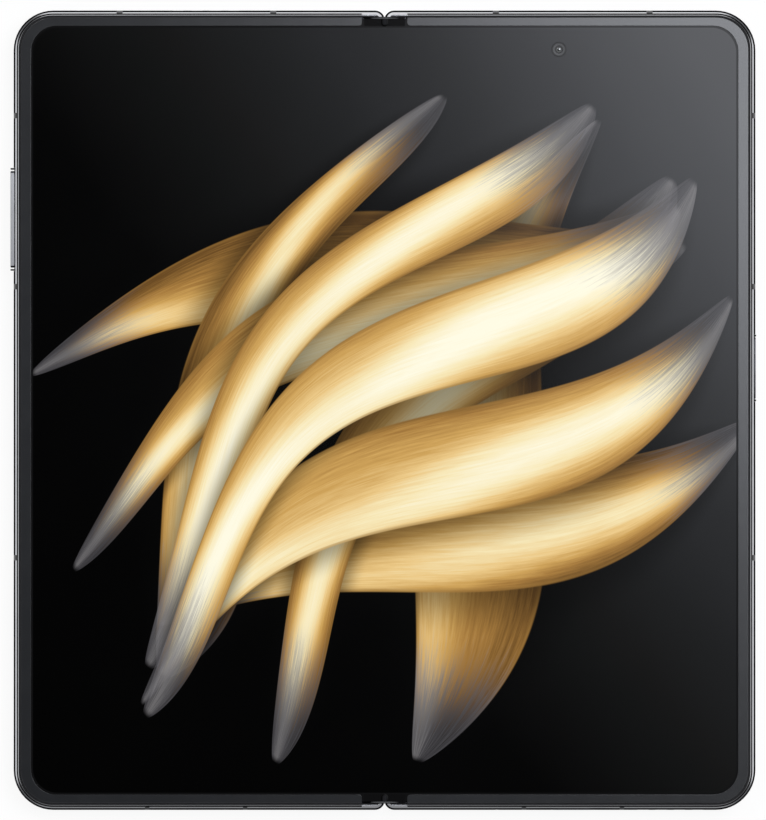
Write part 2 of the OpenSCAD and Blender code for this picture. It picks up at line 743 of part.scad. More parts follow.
// Gear outline with its first tooth turned by phase teeth from +x
module gear_outline(phase) {
  rs = [gear_root, for (k = [0:4]) gear_base + k / 4 * (gear_tip - gear_base)];
  polygon([for (i = [0:gear_teeth - 1]) each concat(
    [for (r = rs) tooth_point(i + phase, -1, r)],
    [for (k = [0:5]) tooth_point(i + phase, 1, rs[5 - k])])]);
}

// Swing arms on one side: hub and gear on the arm shaft, bar, and the pin in the bracket's slot
module swing_arms(side) color([0.68, 0.66, 0.6]) place() top_and_bottom()
  translate([0, module_y, 0]) difference() {
    union() {
      along_y(arm_y, arm_y + arm_w) on_side_2d(side) {
        translate([arm_x, arm_z]) circle(r = 0.7);
        translate([arm_x, arm_z]) square([arm_pin_x - arm_x, arm_t]);
        translate([arm_pin_x, arm_z + arm_t / 2]) circle(r = arm_t / 2);
      }
      along_y(arm_y + 0.4, slot_plate_y + slot_plate_w)
        translate([side * arm_pin_x, arm_pin_z]) circle(r = arm_pin_r);
      along_y(arm_y + arm_w - 0.1, gear_y)
        translate([side * arm_x, arm_z]) circle(r = gear_root - 0.02);
      along_y(gear_y, gear_y + gear_w)
        translate([side * arm_x, arm_z]) gear_outline(side > 0 ? 0.5 : 0);
    }
    along_y(arm_y - 1, gear_y + gear_w + 1)
      translate([side * arm_x, arm_z]) circle(r = shaft_r + running);
  }

module on_side_2d(side) if (side > 0) children(); else mirror([1, 0]) children();

module left_swing_arms() swing_arms(-1);
module right_swing_arms() swing_arms(1);

module idler_gears(side) color([0.72, 0.68, 0.5]) place() top_and_bottom()
  translate([0, module_y, 0]) along_y(gear_y, gear_y + gear_w)
    translate([side * gear_r, arm_z]) difference() {
      gear_outline(side > 0 ? 0 : 0.5);
      circle(r = idler_shaft_r + running);
    }

module left_idler_gears() idler_gears(-1);
module right_idler_gears() idler_gears(1);

// Screws that hold the brackets to the hinge shelf, with cross recesses
module bracket_screws(side) color([0.35, 0.35, 0.37]) place() on_side(side)
  screw_places(side) difference() {
    union() {
      translate([0, 0, cavity_z + 0.1]) cylinder(r = 0.42, h = bracket_z - cavity_z - 0.1);
      translate([0, 0, bracket_z]) cylinder(r = 0.85, h = 0.32);
    }
    translate([0, 0, bracket_z + 0.25]) cube([1.1, 0.25, 0.4], center = true);
    translate([0, 0, bracket_z + 0.25]) cube([0.25, 1.1, 0.4], center = true);
  }

module left_screws() bracket_screws(-1);
module right_screws() bracket_screws(1);

// ---- left half ----

module cover_glass() color([0.05, 0.05, 0.06]) place() mirror([1, 0, 0])
  linear_extrude(back_t) half_plan(back_inset, back_inset, back_x);

module cover_display() color([0.02, 0.02, 0.03]) place() difference() {
  mirror([1, 0, 0]) translate([0, 0, panel_z]) linear_extrude(cover_panel_t)
    half_plan(ring_in, ring_in, hollow_x + 0.2);
  translate([cover_cam[0], cover_cam[1], 0]) cylinder(r = cover_cam_r + 0.3, h = far);
}

module cover_camera() color(black) place() translate([cover_cam[0], cover_cam[1], 0]) {
  translate([0, 0, ledge_z]) cylinder(r = cover_cam_r, h = bay_z - ledge_z);
  slab([-3.2, 3.2], [-3.2, 3.2], [bay_z, bay_top]);
}

module left_battery() color([0.15, 0.15, 0.17]) place()
  slab([-pack_out, -battery_in], battery_y, [bay_z, bay_z + battery_t], 2);

module left_board() color([0.05, 0.25, 0.12]) place() difference() {
  union() {
    slab([-pack_out, -board_in], [board_edge, board_top], [bay_z + 0.1, bay_z + 0.1 + board_t], 1);
    slab([-0.92 * pack_out, -2 * board_in], [board_edge + 0.37 * board_l, board_top - 0.16 * board_l],
         [bay_z + 0.1 + board_t, bay_top], 0.6);
    span([-17.5, -12.2], [flex_y[0] - 2, flex_y[1] + 2], [bay_z + 0.1, bay_z + 0.1 + board_t]);
    for (y = flex_y) span([-13.6, -12.4], [y - 2, y + 2], [bay_z + 0.7, flex_z - flex_t / 2]);
  }
  slab([13 - pack_out, -20], [board_top - 3, board_top + 1], [0, far], 1);
}

module earpiece_speaker() color([0.1, 0.1, 0.11]) place()
  slab([earpiece_x - 8, earpiece_x + 8], [bay_y - 5.6, bay_y], [bay_z, bay_top], 1);

module vibration_motor() color([0.65, 0.65, 0.68]) place()
  slab([1 - pack_out, 11 - pack_out], [6 - bay_y, 16 - bay_y], [bay_z, bay_top], 1.5);

// Key in an edge: a bar with chamfered ends and a flange behind the wall
module key_solid(l, y, proud) {
  c = 0.5;
  translate([0, y, edge_z - key_w / 2]) linear_extrude(key_w) polygon([
    [half_w - key_depth, -l / 2], [half_w + proud - c, -l / 2], [half_w + proud, c - l / 2],
    [half_w + proud, l / 2 - c], [half_w + proud - c, l / 2], [half_w - key_depth, l / 2]]);
  span([half_w - key_depth, half_w - key_depth + flange_t],
       [y - l / 2 - flange_out, y + l / 2 + flange_out], [edge_z - key_w / 2, edge_z + key_w / 2]);
}

module volume_key() color(frame_color) place() mirror([1, 0, 0])
  key_solid(volume_l, volume_y, volume_proud);

module volume_switches() color([0.2, 0.2, 0.22]) place() mirror([1, 0, 0]) {
  span(switch_x, [volume_y - 0.47 * volume_l, volume_y + 0.47 * volume_l], [bay_z, bay_top]);
  for (s = [-1, 1]) translate([bay_x, volume_y + s * volume_l / 3, edge_z])
    rotate([0, 90, 0]) cylinder(r = 0.6, h = 0.15);
}

module card_tray() color(frame_color) place() {
  intersection() {
    mirror([0, 1, 0]) mirror([1, 0, 0]) end_run(wall_d, wall_x);
    tray_plan(tray_w, 0, -half_h - 1, 1.1 - half_h);
    difference() {
      span([-open_w, 0], [-half_h - 1, 0], [0, far]);
      translate([eject_x, 0, tray_z]) rotate([90, 0, 0]) cylinder(r = eject_r, h = open_h);
    }
  }
  difference() {
    span(tray_side, [1.1 - half_h, tray_l - half_h], [tray_z - 0.6, tray_z + 0.6]);
    span([tray_side[0] + 0.6, tray_side[1] - 0.6], [3 - half_h, tray_l - half_h - 0.8],
         [tray_z - 0.3, tray_z + far]);
  }
}

module card_reader() color([0.7, 0.7, 0.72]) place() difference() {
  span([tray_side[0] - 0.8, tray_side[1] + 2.6], [-bay_y, tray_l - half_h + 1.5], [bay_z, bay_top]);
  span([tray_side[0] - 0.1, tray_side[1] + 0.1], [-half_h, tray_l - half_h + 0.3],
       [tray_z - 0.65, tray_z + 0.65]);
  span([eject_x - 0.5, eject_x + 0.5], [-half_h, tray_l - half_h], [tray_z - 0.5, tray_z + 0.5]);
}

// ---- right half ----

module deck_outline(gap) translate([deck_x, deck_y]) round_rect(deck_w + 2 * gap, deck_w + 2 * gap,
                                                               deck_r + gap);

module lens_places() for (p = [[-1, 1], [1, 1], [-1, -1]])
  translate([deck_x + p[0] * lens_pitch, deck_y + p[1] * lens_pitch, 0]) children();

module back_cover() color([0.2, 0.2, 0.22]) place() linear_extrude(back_t) difference() {
  half_plan(back_inset, back_inset, back_x);
  deck_outline(fit);
}

module camera_deck() color([0.3, 0.3, 0.32]) place() difference() {
  translate([0, 0, -deck_h]) linear_extrude(deck_h + back_t) deck_outline(0);
  lens_places() translate([0, 0, -far]) cylinder(r = lens_r + fit, h = 2 * far);
  translate([deck_x + lens_pitch, deck_y - lens_pitch, -far]) cylinder(r = 2.6, h = 2 * far);
  translate([deck_x + lens_pitch + 4.6, deck_y - lens_pitch - 4.6, -deck_h - 1])
    cylinder(r = 0.4, h = 1.6);
}

module camera_rings() color([0.6, 0.6, 0.62]) place() lens_places()
  translate([0, 0, -deck_h - ring_h]) difference() {
    cylinder(r = ring_r, h = ring_h);
    translate([0, 0, -1]) cylinder(r = lens_r + fit, h = ring_h + 2);
  }

module camera_glasses() color([0.05, 0.06, 0.09]) place() lens_places()
  translate([0, 0, lens_z]) cylinder(r = lens_r, h = 0.4);

// A camera behind its glass: barrel and square housing
module camera_module(p, housing, barrel) color(black) place()
  translate([deck_x + p[0] * lens_pitch, deck_y + p[1] * lens_pitch, 0]) {
    translate([0, 0, lens_z + 0.45]) cylinder(r = barrel, h = back_t - lens_z);
    slab([-housing, housing], [-housing, housing], [back_t + 0.1, bay_top]);
  }

module main_camera() camera_module([-1, 1], 5.6, 4.3);
module wide_camera() camera_module([1, 1], 5, 3.9);
module tele_camera() camera_module([-1, -1], 5, 4);

module flash_led() color([0.95, 0.85, 0.5]) place()
  translate([deck_x + lens_pitch, deck_y - lens_pitch, 0]) {
    translate([0, 0, 0.2 - deck_h]) cylinder(r = 2.5, h = 0.8);
    translate([0, 0, 1 - deck_h]) cylinder(r = 1.8, h = deck_h + ledge_z);
  }

module right_battery() color([0.15, 0.15, 0.17]) place()
  slab([battery_in, pack_out], battery_y, [ledge_z + 0.1, ledge_z + 0.1 + battery_t + 0.6], 2);

module main_board() color([0.05, 0.25, 0.12]) place() difference() {
  union() {
    slab([board_in, pack_out], [board_edge, bay_y - 2], [bay_z + 0.1, bay_z + 0.1 + board_t], 1);
    span([12.2, 17.5], [flex_y[0] - 2, flex_y[1] + 2], [bay_z + 0.1, bay_z + 0.1 + board_t]);
    for (y = flex_y) span([12.4, 13.6], [y - 2, y + 2], [bay_z + 0.7, flex_z - flex_t / 2]);
  }
  slab([deck_in + 2, pack_out + 2], [deck_low + 2, half_h], [0, far], 1);
  slab([inner_cam_x - 3.6, inner_cam_x + 3.6], [inner_cam_y - 3.6, half_h], [0, far], 0.6);
}

module board_shields() color([0.72, 0.72, 0.7]) place() {
  slab([board_in + 3.8, deck_in - 3], [board_edge + 16, bay_y - 12],
       [bay_z + 0.1 + board_t, bay_top], 0.6);
  slab([deck_in + 3, pack_out - 3], [board_edge + 1.5, deck_low - 3],
       [bay_z + 0.1 + board_t, bay_top], 0.6);
  slab([board_in + 5.8, deck_in - 2], [board_edge + 18, bay_y - 14],
       [ledge_z + 0.1, bay_z + 0.1], 0.6);
}

module inner_camera() color(black) place() translate([inner_cam_x, inner_cam_y, 0]) {
  slab([-3.2, 3.2], [-3.2, 3.2], [ledge_z + 0.1, bay_top]);
  translate([0, 0, bay_top]) cylinder(r = inner_cam_r - 0.05, h = display_z - 0.15 - bay_top);
}

module charging_port() color([0.65, 0.65, 0.67]) place() {
  difference() {
    edge_slot(port_x, port_z, port_w + 2 * port_wall, port_h + 2 * port_wall, 0.3 - half_h,
              port_depth + 0.3 - half_h);
    edge_slot(port_x, port_z, port_w, port_h, -half_h - 1, port_depth - half_h);
  }
  span([port_x - 3.34, port_x + 3.34], [1.2 - half_h, port_depth + 0.1 - half_h],
       [port_z - 0.35, port_z + 0.35]);
}

module bottom_speaker() color([0.1, 0.1, 0.11]) place()
  slab([speaker_x - slot_l, speaker_x + (speaker_slots - 1) * speaker_pitch + slot_l],
       [-bay_y, speaker_depth - bay_y], [ledge_z + 0.1, bay_top], 1);

module power_key() color(frame_color) place() key_solid(power_l, power_y, power_proud);

module power_switch() color([0.2, 0.2, 0.22]) place() {
  span(switch_x, [power_y - 5, power_y + 5], [bay_z, bay_top]);
  translate([bay_x, power_y, edge_z]) rotate([0, 90, 0]) cylinder(r = 0.6, h = 0.15);
}

spine_cover();
hinge_block_top();
hinge_block_bottom();
gear_shafts();
friction_washers();
hinge_screws();
centre_support();
end_cap_top();
end_cap_bottom();
flex_cables();
display_fold();
left_frame();
right_frame();
left_bezel();
right_bezel();
display_left();
display_right();
left_support_plate();
right_support_plate();
left_hinge_brackets();
right_hinge_brackets();
left_swing_arms();
right_swing_arms();
left_idler_gears();
right_idler_gears();
left_screws();
right_screws();
left_antenna_bands();
right_antenna_bands();
cover_glass();
cover_display();
cover_camera();
left_battery();
left_board();
earpiece_speaker();
vibration_motor();
volume_key();
volume_switches();
card_tray();
card_reader();
back_cover();
camera_deck();
camera_rings();
camera_glasses();
main_camera();
wide_camera();
tele_camera();
flash_led();
right_battery();
main_board();
board_shields();
inner_camera();
charging_port();
bottom_speaker();
power_key();
power_switch();
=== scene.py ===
import json
import bmesh
import bpy
import numpy as np
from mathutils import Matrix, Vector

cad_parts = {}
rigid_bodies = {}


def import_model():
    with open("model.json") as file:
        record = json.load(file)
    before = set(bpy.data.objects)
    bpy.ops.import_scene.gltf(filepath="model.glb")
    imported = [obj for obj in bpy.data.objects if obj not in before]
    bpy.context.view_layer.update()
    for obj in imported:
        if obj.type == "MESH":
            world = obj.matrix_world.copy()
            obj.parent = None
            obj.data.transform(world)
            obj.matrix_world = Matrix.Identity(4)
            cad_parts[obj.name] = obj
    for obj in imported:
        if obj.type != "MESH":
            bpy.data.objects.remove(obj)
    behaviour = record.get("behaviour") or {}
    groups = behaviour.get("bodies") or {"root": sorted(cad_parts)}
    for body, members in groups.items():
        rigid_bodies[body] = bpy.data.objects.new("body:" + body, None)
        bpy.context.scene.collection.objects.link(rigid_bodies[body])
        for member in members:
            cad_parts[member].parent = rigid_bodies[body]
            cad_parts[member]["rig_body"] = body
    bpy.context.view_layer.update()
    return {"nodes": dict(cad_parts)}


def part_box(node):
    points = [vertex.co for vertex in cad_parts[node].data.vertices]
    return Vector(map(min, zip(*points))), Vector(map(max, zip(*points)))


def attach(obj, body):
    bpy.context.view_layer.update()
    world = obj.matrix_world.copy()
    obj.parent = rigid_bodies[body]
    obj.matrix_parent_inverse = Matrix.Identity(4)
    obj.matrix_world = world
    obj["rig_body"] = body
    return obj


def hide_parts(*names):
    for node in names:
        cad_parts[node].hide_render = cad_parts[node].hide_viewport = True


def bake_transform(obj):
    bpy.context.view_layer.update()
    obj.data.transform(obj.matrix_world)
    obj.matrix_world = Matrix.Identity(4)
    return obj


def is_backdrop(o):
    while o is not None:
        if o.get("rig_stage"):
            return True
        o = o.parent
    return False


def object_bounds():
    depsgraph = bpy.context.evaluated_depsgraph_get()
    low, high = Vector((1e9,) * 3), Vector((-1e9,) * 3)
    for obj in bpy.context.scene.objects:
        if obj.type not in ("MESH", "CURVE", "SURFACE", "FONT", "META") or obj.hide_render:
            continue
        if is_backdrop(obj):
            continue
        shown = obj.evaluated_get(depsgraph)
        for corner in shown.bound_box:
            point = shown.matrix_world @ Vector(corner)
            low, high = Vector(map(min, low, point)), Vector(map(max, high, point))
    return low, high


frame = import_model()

nodes = frame["nodes"]
mm = 0.001
print("phone: packed model loaded,", len(nodes), "nodes")

# heights and lengths of the solids, in millimetres
phone = {
    "halfWidth": 72.7, "halfHeight": 78.35, "cornerRadius": 7.8, "backZ": 2.4,
    "bezelTop": 7.1, "displayTop": 6.7, "displayBack": 6.0, "spineEnd": 77.0,
}
sides = {"right": 1, "left": -1}


def nodeBox(node):
    # lowest and highest corner of a solid and the middle between them, in millimetres
    low, high = (np.array(corner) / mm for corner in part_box(node))
    return low, high, (low + high) / 2


def quadsOf(rows, columns, closeRows, closeColumns):
    # face (i, j) joins the grid points i, i+1 and j, j+1, counted round where the grid closes on itself
    i, j = np.arange(rows - (not closeRows))[:, None], np.arange(columns - (not closeColumns))
    here, above, beside = i * columns, (i + 1) % rows * columns, (j + 1) % columns
    return np.stack([here + j, above + j, above + beside, here + beside], -1).reshape(-1, 4)


def linked(name, data):
    holder = bpy.data.objects.new(name, data)
    bpy.context.scene.collection.objects.link(holder)
    return holder


def finishedPiece(name, mesh, finish, sharpAngle):
    mesh.polygons.foreach_set("use_smooth", [True] * len(mesh.polygons))
    mesh.set_sharp_from_angle(angle=np.radians(sharpAngle))
    mesh.materials.clear()
    mesh.materials.append(finish)
    return linked(name, mesh)


def surfacePiece(name, sheets, finish, sharpAngle=38.0):
    # each sheet is a grid of points in mm with closing flags; "ends" puts a face on its first and last row
    points, faces, start = [], [], 0
    for sheet in sheets:
        grid = np.asarray(sheet["grid"], float)
        rows, columns = grid.shape[:2]
        quads = quadsOf(rows, columns, sheet.get("closeRows", False), sheet.get("closeColumns", False))
        faces += (quads + start).tolist()
        if sheet.get("ends"):
            first = np.arange(columns) + start
            faces += [first.tolist(), (first + (rows - 1) * columns).tolist()]
        points.append(grid.reshape(-1, 3))
        start += rows * columns
    mesh = bpy.data.meshes.new(name)
    mesh.from_pydata((np.concatenate(points) * mm).tolist(), [], faces)
    work = bmesh.new()
    work.from_mesh(mesh)
    bmesh.ops.remove_doubles(work, verts=work.verts, dist=2e-7)
    bmesh.ops.dissolve_degenerate(work, edges=work.edges, dist=1e-7)
    bmesh.ops.recalc_face_normals(work, faces=work.faces)
    work.to_mesh(mesh)
    work.free()
    return finishedPiece(name, mesh, finish, sharpAngle)


def roundEdges(piece, width, segments, angle):
    # a small round on each edge sharper than the angle in degrees
    bevel = piece.modifiers.new("round", "BEVEL")
    bevel.width, bevel.segments, bevel.limit_method = width * mm, segments, "ANGLE"
    bevel.angle_limit = np.radians(angle)
    return bevel


def softened(node, name, finish, width, segments=3, angle=30.0):
    # the node's own solid with its loose triangles merged and its sharp edges rounded
    mesh = nodes[node].data.copy()
    work = bmesh.new()
    work.from_mesh(mesh)
    bmesh.ops.remove_doubles(work, verts=work.verts, dist=1e-6)
    bmesh.ops.dissolve_limit(work, angle_limit=np.radians(0.5), verts=work.verts, edges=work.edges)
    work.to_mesh(mesh)
    work.free()
    piece = finishedPiece(name, mesh, finish, angle)
    roundEdges(piece, width, segments, angle).harden_normals = True
    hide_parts(node)
    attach(piece, nodes[node]["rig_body"])


def settle(body, slot, *pieces):
    # the body that the pieces ride on; the slot of their finish is not used
    for piece in pieces:
        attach(piece, body)


def gridOf(*values):
    # the points whose x, y and z are the three values, spread over one grid
    return np.stack(np.broadcast_arrays(*values), -1)


def tube(*values):
    # a sheet whose rows run round on themselves, with a face on the first and the last of them
    return {"grid": gridOf(*values), "closeColumns": True, "ends": True}


def turned(centre, profile, steps=72, closed=False):
    # point (a, k) is the centre plus radius k turned by the angle a, at height k
    radius, height = np.asarray(profile, float).T
    angle = np.linspace(0, 2 * np.pi, steps, endpoint=False)[:, None]
    grid = gridOf(radius * np.cos(angle), radius * np.sin(angle), height) + centre
    return {"grid": grid, "closeRows": True, "closeColumns": closed}


def roundedOutline(halfX, halfY, radius, perCorner=12, centre=(0.0, 0.0)):
    # four quarter circles, joined by straight sides: the points, and the outward direction at each
    angle = np.radians(np.concatenate([np.linspace(0, 90, perCorner) + 90 * k for k in range(4)]))
    outward = np.stack([np.cos(angle), np.sin(angle)], -1)
    corner = np.repeat(np.array([(1, 1), (-1, 1), (-1, -1), (1, -1)]), perCorner, axis=0)
    return np.array(centre) + corner * (np.array([halfX, halfY]) - radius) + outward * radius, outward


def plate(outline, levels, plane="xy"):
    # level k is the outline drawn inwards by its inset, at its height; the first and last level are closed
    points, outward = outline
    inset, height = np.asarray(levels, float).T[..., None]
    first, second = (place - out * inset for place, out in zip(points.T, outward.T))
    order = {"xy": (first, second, height), "xz": (first, height, second), "yz": (height, first, second)}
    return tube(*order[plane])


def roundedLevels(low, high, radius, steps=5, bottom=True):
    # insets and heights of a plate whose upper edge, and lower edge if wanted, is a quarter circle
    turn = np.linspace(0, np.pi / 2, steps)
    top = np.stack([radius * (1 - np.cos(turn)), high - radius * (1 - np.sin(turn))], -1)
    under = np.stack([top[::-1, 0], low + high - top[::-1, 1]], -1) if bottom else np.array([[0, low]])
    return np.concatenate([under, top])


def block(low, high, corner, edge):
    # a box between two corners whose upright edges and rims are quarter circles
    low, high = np.array(low, float), np.array(high, float)
    middle, (halfX, halfY, _) = (low + high) / 2, (high - low) / 2
    outline = roundedOutline(halfX, halfY, corner, 5, middle[:2])
    return plate(outline, roundedLevels(low[2], high[2], edge, 4))


class Field:
    # one socket of a node tree; arithmetic on it adds Math nodes
    def __init__(self, tree, socket):
        self.tree, self.socket = tree, socket

    def run(self, operation, *others):
        node = self.tree.nodes.new("ShaderNodeMath")
        node.operation = operation
        for place, value in enumerate((self,) + others):
            feed(self.tree, value, node.inputs[place])
        return Field(self.tree, node.outputs[0])

    def __neg__(self):
        return self.run("MULTIPLY", -1.0)

    def __rsub__(self, other):
        return (-self) + other

    def step(self, low, high):
        # 0 below low, 1 above high, and a smooth S between them
        node = self.tree.nodes.new("ShaderNodeMapRange")
        node.interpolation_type = "SMOOTHSTEP"
        for place, value in ((0, self), (1, low), (2, high)):
            feed(self.tree, value, node.inputs[place])
        return Field(self.tree, node.outputs[0])


def mathMethod(operation):
    return lambda self, *others: self.run(operation, *others)


mathMethods = {
    "__add__": "ADD", "__radd__": "ADD", "__sub__": "SUBTRACT", "__mul__": "MULTIPLY",
    "__rmul__": "MULTIPLY", "__truediv__": "DIVIDE", "__pow__": "POWER", "sin": "SINE", "cos": "COSINE",
    "abs": "ABSOLUTE", "root": "SQRT", "atLeast": "MAXIMUM",
}
for method, operation in mathMethods.items():
    setattr(Field, method, mathMethod(operation))


def feed(tree, value, socket):
    if isinstance(value, Field):
        tree.links.new(value.socket, socket)
    elif isinstance(value, bpy.types.NodeSocket):
        tree.links.new(value, socket)
    else:
        socket.default_value = value


def tone(code, alpha=1.0):
    # a colour written as six hexadecimal digits, as linear light
    light = np.array([int(code[k:k + 2], 16) for k in (0, 2, 4)]) / 255
    return (*np.where(light <= 0.04045, light / 12.92, ((light + 0.055) / 1.055) ** 2.4), alpha)


def mixed(tree, share, first, second):
    node = tree.nodes.new("ShaderNodeMix")
    node.data_type = "RGBA"
    for place, value in ((0, share), (6, first), (7, second)):
        feed(tree, value, node.inputs[place])
    return node.outputs[2]


def ramped(tree, value, stops):
    node = tree.nodes.new("ShaderNodeValToRGB")
    band = node.color_ramp
    while len(band.elements) < len(stops):
        band.elements.new(0.5)
    for element, (place, code) in zip(band.elements, stops):
        element.position, element.color = place, tone(code)
    feed(tree, value, node.inputs[0])
    return node.outputs[0]


def noise(tree, where, scale, detail=2.0, rough=0.5):
    node = tree.nodes.new("ShaderNodeTexNoise")
    for label, value in (("Scale", scale), ("Detail", detail), ("Roughness", rough), ("Vector", where)):
        feed(tree, value, node.inputs[label])
    return Field(tree, node.outputs[0])


def joinedVector(tree, *values):
    node = tree.nodes.new("ShaderNodeCombineXYZ")
    for place, value in enumerate(values):
        feed(tree, value, node.inputs[place])
    return node.outputs[0]


def splitVector(tree, vector):
    node = tree.nodes.new("ShaderNodeSeparateXYZ")
    feed(tree, vector, node.inputs[0])
    return [Field(tree, socket) for socket in node.outputs]


def placeOn(tree, scale=1.0, stretch=(1.0, 1.0, 1.0)):
    # object coordinates in millimetres, times the scale and the stretch of each axis
    source = tree.nodes.new("ShaderNodeTexCoord")
    node = tree.nodes.new("ShaderNodeMapping")
    node.inputs["Scale"].default_value = [1000.0 * scale * share for share in stretch]
    tree.links.new(source.outputs["Object"], node.inputs["Vector"])
    return node.outputs[0]


def newGroup(name, inputs, outputs):
    # the inputs and outputs are labels, each with the letter of its kind: a float, a colour or a vector
    tree = bpy.data.node_groups.new(name, "ShaderNodeTree")
    kinds = {"f": "NodeSocketFloat", "c": "NodeSocketColor", "v": "NodeSocketVector"}
    for way, text in (("INPUT", inputs), ("OUTPUT", outputs)):
        for label, kind in (word.split(":") for word in text.split()):
            tree.interface.new_socket(name=label, in_out=way, socket_type=kinds[kind])
    enter, leave = tree.nodes.new("NodeGroupInput"), tree.nodes.new("NodeGroupOutput")
    given = [Field(tree, enter.outputs[word[:-2]]) for word in inputs.split()]
    return tree, given, leave.inputs


def useGroup(tree, group, values):
    node = tree.nodes.new("ShaderNodeGroup")
    node.node_tree = group
    for label, value in values.items():
        feed(tree, value, node.inputs[label])
    return node.outputs


def newMaterial(name):
    material = bpy.data.materials.new(name)
    material.use_nodes = True
    tree = material.node_tree
    return material, tree, tree.nodes["Principled BSDF"].inputs


def bumped(tree, shader, height, strength, depth):
    bump = tree.nodes.new("ShaderNodeBump")
    bump.inputs["Strength"].default_value = strength
    bump.inputs["Distance"].default_value = depth * mm
    feed(tree, height, bump.inputs["Height"])
    tree.links.new(bump.outputs["Normal"], shader["Normal"])


print("phone: helpers ready")

# fine lines drawn out along one direction, as brushing or rolling leaves them
effectInputs, effectOutputs = "Place:v Base:c Second:c Roughness:f Spread:f", "Color:c Roughness:f Height:f"
brushedLines, given, leave = newGroup("brushedLines", effectInputs, effectOutputs)
place, base, second, roughness, spread = given
lines = noise(brushedLines, place, 1.0, 3.0, 0.6)
cloud = noise(brushedLines, place, 0.11, 2.0)
share = (lines * 0.6 + cloud * 0.5 - 0.15).step(0.2, 0.75)
feed(brushedLines, mixed(brushedLines, share, second, base), leave["Color"])
feed(brushedLines, roughness + (lines - 0.5) * spread + (cloud - 0.5) * 0.1, leave["Roughness"])
feed(brushedLines, lines, leave["Height"])

# the even, grainy skin of moulded plastic or of a bead-blasted part, with faint cloudy handling marks
grainedSkin, given, leave = newGroup("grainedSkin", effectInputs, effectOutputs)
place, base, second, roughness, spread = given
grain = noise(grainedSkin, place, 9.0, 2.0, 0.6)
marks = noise(grainedSkin, place, 0.16, 4.0, 0.55)
share = marks.step(0.38, 0.72) * 0.55 + (grain - 0.5) * 0.3
feed(grainedSkin, mixed(grainedSkin, share, base, second), leave["Color"])
feed(grainedSkin, roughness + (marks - 0.5) * spread + (grain - 0.5) * 0.06, leave["Roughness"])
feed(grainedSkin, grain, leave["Height"])


def skinned(tree, shader, group, values, bump, depth):
    # the shared effect feeds the shader's colour, its roughness and a fine bump
    effect = useGroup(tree, group, values)
    feed(tree, effect["Color"], shader["Base Color"])
    feed(tree, effect["Roughness"], shader["Roughness"])
    bumped(tree, shader, effect["Height"], bump, depth)


def grainedMaterial(name, colours, roughness, more):
    # one finish of a shared effect; what is even over the surface stays on the shader's own sockets
    material, tree, shader = newMaterial(name)
    place = placeOn(tree, more.get("scale", 1.0), more.get("lines", (1.0, 1.0, 1.0)))
    skinned(tree, shader, brushedLines if "lines" in more else grainedSkin, {
        "Place": place, "Base": tone(colours[:6]), "Second": tone(colours[7:]), "Roughness": roughness,
        "Spread": more.get("spread", 0.12)}, more.get("bump", 0.15), more.get("depth", 0.01))
    for label, socket in (("metal", "Metallic"), ("ior", "IOR")):
        if label in more:
            shader[socket].default_value = more[label]
    return material


